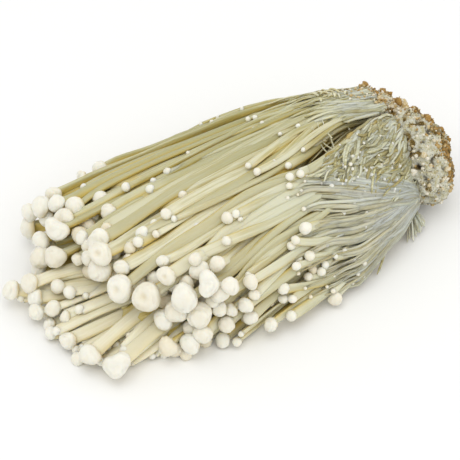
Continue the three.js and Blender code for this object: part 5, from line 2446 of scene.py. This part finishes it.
    def ribbon(self, chance: np.random.Generator, under: bool) -> Patch | None:
        """Try to lay one ribbon on the bunch's front.

        Args:
            chance: The seeded source of chance.
            under: Whether it lies in the darker layer beneath.

        Returns:
            The ribbon, or nothing where it would leave its part of the bunch.
        """
        t = np.linspace(0, 1, self.rings)
        start = chance.uniform(*self.ribbon_start_mm)
        lowest = self.fan_edge(start) - 14
        angle = chance.uniform(lowest + (3 if under else 0), self.last_angle_deg)
        at = self.shell.point(np.array([start]), np.array([angle]), np.array([0.0]))
        if not self.in_front(at, chance.uniform(0.5, 1.6)):
            return None
        spot = np.array([[start, angle / 3, 0.0]])
        lock = bumps(spot, self.lock_mm, 72)[0]
        heading = 0.05 - 0.8 * (angle - lowest) / (self.last_angle_deg - lowest)
        heading = heading + self.lock_sway * lock + chance.normal(0, self.heading_sway)
        way = chance.uniform(*self.ribbon_long_mm) * t
        x, turn = self.course(start, angle, heading, way, self.girth_mm)
        turn = turn + chance.normal(0, 3.0) * np.sin(math.pi * t)
        edge = np.array([self.fan_edge(place) for place in x])
        if (turn < edge - (9 if under else 14)).any():
            return None
        free = not under and chance.uniform() < self.free_share
        arch = np.sin(math.pi * 0.6 * t)
        lift = chance.uniform(-0.6, -0.1) if under else chance.uniform(-0.3, 0.6) * arch
        lift = lift + (chance.uniform(*self.free_rise_mm) * t**1.5 if free else 0.0)
        lift = lift + self.tuft_rise_mm * bumps(spot, self.tuft_mm, 71)[0] * (1 - t)
        lift[0] = -0.8
        headed = chance.uniform() < self.headed_share and not under
        head = chance.uniform(*self.head_mm) if headed else 0.0
        if not head and not free:
            lift[-1] -= 0.6
        lift -= self.root_dip_mm * smooth_step(-8.0, -3.0, x)
        line = self.shell.point(np.minimum(x, self.ribbon_end_mm), turn, lift)
        if not self.in_front(line, 0.2):
            return None
        relax(line, 2)
        wide = chance.uniform(*self.ribbon_half_mm) * (1.2 if under else 1.0)
        patch = bumps(spot, self.patch_mm, 75)[0]
        along = (start - self.pale_at[0]) / self.pale_reach[0]
        around = (angle - self.pale_at[1]) / self.pale_reach[1]
        crown = math.exp(-(along**2) - around**2)
        white = 0.1 + 0.7 * crown + 0.7 * patch + chance.normal(0, 0.12)
        white = 0.0 if under else float(np.clip(white, 0, 0.85))
        tone = float(np.clip(0.46 + 0.2 * crown + 0.6 * patch + chance.normal(0, 0.23), 0, 1))
        # Painted shade: golden on the lower layer; the upper ribbons are golden only in random patches.
        deep = 0.75 if under else float(np.clip(-0.6 * patch, 0, 0.5))
        thin = wide * chance.uniform(0.35, 0.6)
        return self.thread(line, wide, thin, head, cool=white, tone=tone, deep=deep)

    def band(self) -> None:
        """Lay flat ribbons over the stems behind the cleft, where they leave the root."""
        chance = np.random.default_rng(self.seed + 4)
        patches = []
        t = np.linspace(0, 1, self.rings)
        while len(patches) < self.band_ribbons:
            start = chance.uniform(*self.band_start_mm)
            angle = chance.uniform(*self.band_deg)
            heading = chance.normal(0.08, 0.14)
            way = chance.uniform(*self.band_long_mm) * t
            x, turn = self.course(start, angle, heading, way, self.girth_mm)
            turn = turn + chance.normal(0, 1.5) * np.sin(math.pi * t)
            lift = chance.uniform(-0.4, 0.0) + 0.15 * np.sin(math.pi * t)
            lift -= 0.3 + 0.9 * smooth_step(0.65, 1.0, t)
            line = self.shell.point(np.minimum(x, self.band_start_mm[1]), turn, lift)
            if not (line[:, 1] > self.cleft_edge(line, 1) + self.band_behind_cleft_mm).all():
                continue
            wide = chance.uniform(*self.band_half_mm)
            white = float(smooth_step(-24.0, -12.0, line[:, 0].mean()) * chance.uniform(0.3, 0.9))
            patches.append(self.thread(line, wide, 0.4 * wide, 0.0, cool=white,
                                       tone=chance.uniform(0.4, 0.8)))
        self.place("ribbons_back", patches)

    def curl(self) -> None:
        """Set small yellowish curls on the back edge of the bunch."""
        chance = np.random.default_rng(self.seed + 5)
        patches = []
        t = np.linspace(0, 1, self.rings)
        for _ in range(self.curls):
            start = chance.normal(self.curl_middle_mm, self.curl_spread_mm)
            angle = chance.uniform(*self.curl_deg)
            heading = chance.uniform(-1.4, 1.4)
            way = chance.uniform(*self.curl_long_mm) * t
            x, turn = self.course(start, angle, heading, way, self.curl_girth_mm)
            lift = np.sin(math.pi * 0.8 * t) * chance.uniform(0.6, 1.5) - 0.2
            wide = chance.uniform(*self.curl_half_mm)
            patches.append(self.thread(self.shell.point(x, turn, lift), wide, 0.6 * wide, 0.0, cool=0.0,
                                       tone=chance.uniform(0.5, 0.8), near_cap=0.35))
        self.place("curls_back", patches)

    def fan(self) -> None:
        """Lay thin stems that fan out over the front from the root's lower corner."""
        chance = np.random.default_rng(self.seed + 2)
        patches = []
        t = np.linspace(0, 1, self.rings + 8)
        while len(patches) < self.strands:
            last = chance.uniform(*self.strand_last_deg)
            first = 7 + 0.13 * last + chance.normal(0, 2)
            length = self.strand_short_mm + self.strand_longer_mm * chance.uniform() ** 1.5
            x = self.strand_start_mm - length * t
            turn = first + (last - first) * np.clip(length * t / self.fan_open_mm, 0, 1) ** 0.8
            turn += chance.normal(0, 1.0) * np.sin(math.pi * t * chance.uniform(1, 2.5))
            lift = 0.3 * np.sin(math.pi * t) + chance.uniform(-0.35, 0.2)
            headed = chance.uniform() < self.strand_headed_share
            head = chance.uniform(*self.strand_head_mm) if headed else 0.0
            if not head:
                lift -= 1.9 * smooth_step(0.6, 1.0, t)
            line = self.shell.point(x, turn, lift)
            if not self.in_front(line, 1.0):
                continue
            wide = chance.uniform(*self.strand_half_mm)
            fading = 0.25 * float(smooth_step(-20.0, -34.0, x.mean()))
            # Painted shade: golden towards the far ends of the longer strands.
            gold = 0.35 * smooth_step(-30.0, -52.0, np.array([x[-1]]))[0] * chance.uniform()
            patches.append(self.thread(line, wide, wide * 0.55, head, tone=chance.uniform(0.25, 0.95),
                                       cool=chance.uniform(0.7, 1) * (1 - fading), deep=gold))
        self.place("strands_front", patches)

    def in_cleft(self) -> None:
        """Stretch golden threads along the inside of the cleft, and a few across it."""
        chance = np.random.default_rng(self.seed + 3)
        patches = []
        form = self.shell.form
        t = np.linspace(0, 1, self.rings + 6)
        for _ in range(self.cleft_threads):
            x = chance.uniform(*self.cleft_start_mm) - chance.uniform(*self.cleft_long_mm) * t
            z = chance.uniform(*self.cleft_height_mm) + chance.uniform(-3, 4) * t
            side = chance.choice([-1, 1]) * chance.uniform(0.4, 1.05)
            y = form.cleft_middle(x, z) + side * 0.5 * form.cleft_width_mm * form.parting(x)
            y += chance.normal(0, 0.5) * np.sin(math.pi * t)
            wide = chance.uniform(*self.cleft_half_mm)
            patch = self.thread(np.stack([x, y, z], -1), wide, wide * 0.6, 0.0, tone=chance.uniform(),
                                cool=0.0)
            # Painted shade: browner the deeper a thread lies in the cleft.
            patch.values["in_cleft"] = np.clip((30 - patch.points[:, 2]) / 12, 0.25, 1.0)
            patches.append(patch)
        for _ in range(self.bridges):
            x = chance.uniform(*self.bridge_at_mm) + chance.uniform(-4, 4) * t
            across = 2 * t - 1
            half = chance.uniform(0.7, 1.1) * form.cleft_width_mm * np.maximum(form.parting(x), 0.35)
            y = form.cleft_middle(x, np.full(len(x), 24.0)) + half * across
            lips = np.interp(t, [0, 1], [form.roof(x[0], y[0]), form.roof(x[-1], y[-1])])
            z = lips + 0.2 - chance.uniform(*self.bridge_sag_mm) * (1 - across**2)
            wide = chance.uniform(*self.bridge_half_mm)
            patches.append(self.thread(np.stack([x, y, z], -1), wide, wide * 0.7, 0.0, tone=0.8, cool=0.2))
        self.place("cleft_threads", patches)

    def fringe(self) -> None:
        """Hang thin strips from the front lower corner of the root."""
        chance = np.random.default_rng(self.seed + 1)
        patches = []
        t = np.linspace(0, 1, self.rings)[:, None]
        corner = np.array(self.corner_mm)
        for i in range(self.strips):
            share = (i + chance.uniform(-0.4, 0.4)) / (self.strips - 1)
            way = math.radians(-58 - 78 * share)
            length = float(np.interp(share, self.strip_at, self.strip_long_mm)) * chance.uniform(0.85, 1.15)
            end = corner + np.array([math.cos(way) * length, math.sin(way) * length, 0])
            end[2] = chance.uniform(0.4, 1.4) + 2.4 * (1 - share)
            start = corner + np.array([0.4 - 1.5 * share, 1.2, chance.uniform(-1.5, 1.5)])
            line = start * (1 - t) + end * t
            line[:, 2] += 1.2 * np.sin(math.pi * t[:, 0]) * chance.uniform(0.2, 1)
            wide = chance.uniform(*self.strip_half_mm)
            patches.append(self.thread(line, wide, 0.4 * wide, 0.0, tone=chance.uniform(0.5, 1.0), cool=0.7))
        start, end = np.array(self.loose_from_mm), np.array(self.loose_to_mm)
        line = start * (1 - t) + end * t
        line[:, 0] += 1.6 * np.sin(math.pi * t[:, 0])
        patches.append(self.thread(line, 0.75, 0.35, 0.0, tone=0.3, cool=0.0))
        self.place("fringe_strips", patches)


# ---------------------------------------------------------------- studio
@dataclass
class Studio:
    """The table top and the lights."""

    floor: bpy.types.Material
    floor_half_m: float = 2.5
    sky: float = 0.89
    key_watts: float = 2.4
    key_side_m: float = 0.7
    key_place_m: Triple = (-0.25, -0.15, 0.9)
    fill_watts: float = 1.2
    fill_side_m: float = 0.8
    fill_place_m: Triple = (0.7, -0.6, 0.5)
    lit_m: Triple = (-0.06, -0.01, 0.02)

    def build(self) -> None:
        """Build the table top, the sky and the lights."""
        half = self.floor_half_m
        mesh = bpy.data.meshes.new("table_top")
        corners = [(-half, -half, 0), (half, -half, 0), (half, half, 0), (-half, half, 0)]
        mesh.from_pydata(corners, [], [(0, 1, 2, 3)])
        mesh.materials.append(self.floor)
        top = bpy.data.objects.new("table_top", mesh)
        bpy.context.scene.collection.objects.link(top)
        world = bpy.data.worlds.new("soft_sky")
        world.use_nodes = True
        world.node_tree.nodes["Background"].inputs["Color"].default_value = (1, 1, 1, 1)
        world.node_tree.nodes["Background"].inputs["Strength"].default_value = self.sky
        bpy.context.scene.world = world
        bpy.context.scene.view_settings.view_transform = "Standard"
        self.lamp("key", self.key_place_m, self.key_side_m, self.key_watts)
        self.lamp("fill", self.fill_place_m, self.fill_side_m, self.fill_watts)

    def lamp(self, name: str, place: Triple, side_m: float, watts: float) -> None:
        """Hang one square soft light that faces the bunch.

        Args:
            name: The light's name.
            place: Where it hangs, in metres.
            side_m: Its side.
            watts: Its power.
        """
        data = bpy.data.lights.new(name, "AREA")
        data.shape = "SQUARE"
        data.size = side_m
        data.energy = watts
        light = bpy.data.objects.new(name, data)
        light.location = place
        way = Vector(place) - Vector(self.lit_m)
        light.rotation_euler = way.to_track_quat("Z", "Y").to_euler()
        bpy.context.scene.collection.objects.link(light)


def main() -> None:
    """Build the bunch, piece by piece."""
    logging.basicConfig(level=logging.INFO, format="%(name)s: %(message)s")
    view = Viewpoint()
    view.add_camera()
    Studio(PaleTop().material()).build()
    stem, skin = StemFlesh().material(), CapSkin().material()
    form = BunchForm()
    bunch = Bunch(Grove(view, form), MushroomMaker(form), LightInside(), stem, skin)
    shell = Shell(form)
    shell.feel(*bunch.build())
    root = RootBlock(Mycelium().material(), Sawdust().material())
    root.block()
    root.crust()
    for heap in HEAPS:
        caught = shell.scatter(heap.caught, heap.caught_along_mm, heap.caught_deg, heap.caught_seed)
        root.heap(heap, caught)
    # golden is the painted shade colour of the threads.
    thread = StemFlesh(name="enoki_thread_flesh", light_through=0.45, light_reach_m=0.0012, tone_share=0.45,
                       pale="#E1DEC4", body="#BFB98B", shade="#9C8B50", cool_pale="#E9ECE9",
                       cool_shade="#A8AA92", golden="#A98F45").material()
    pins = Pins(shell, thread, skin)
    pins.tangle()
    pins.band()
    pins.curl()
    pins.fan()
    pins.in_cleft()
    pins.fringe()


if __name__ == "__main__":
    main()
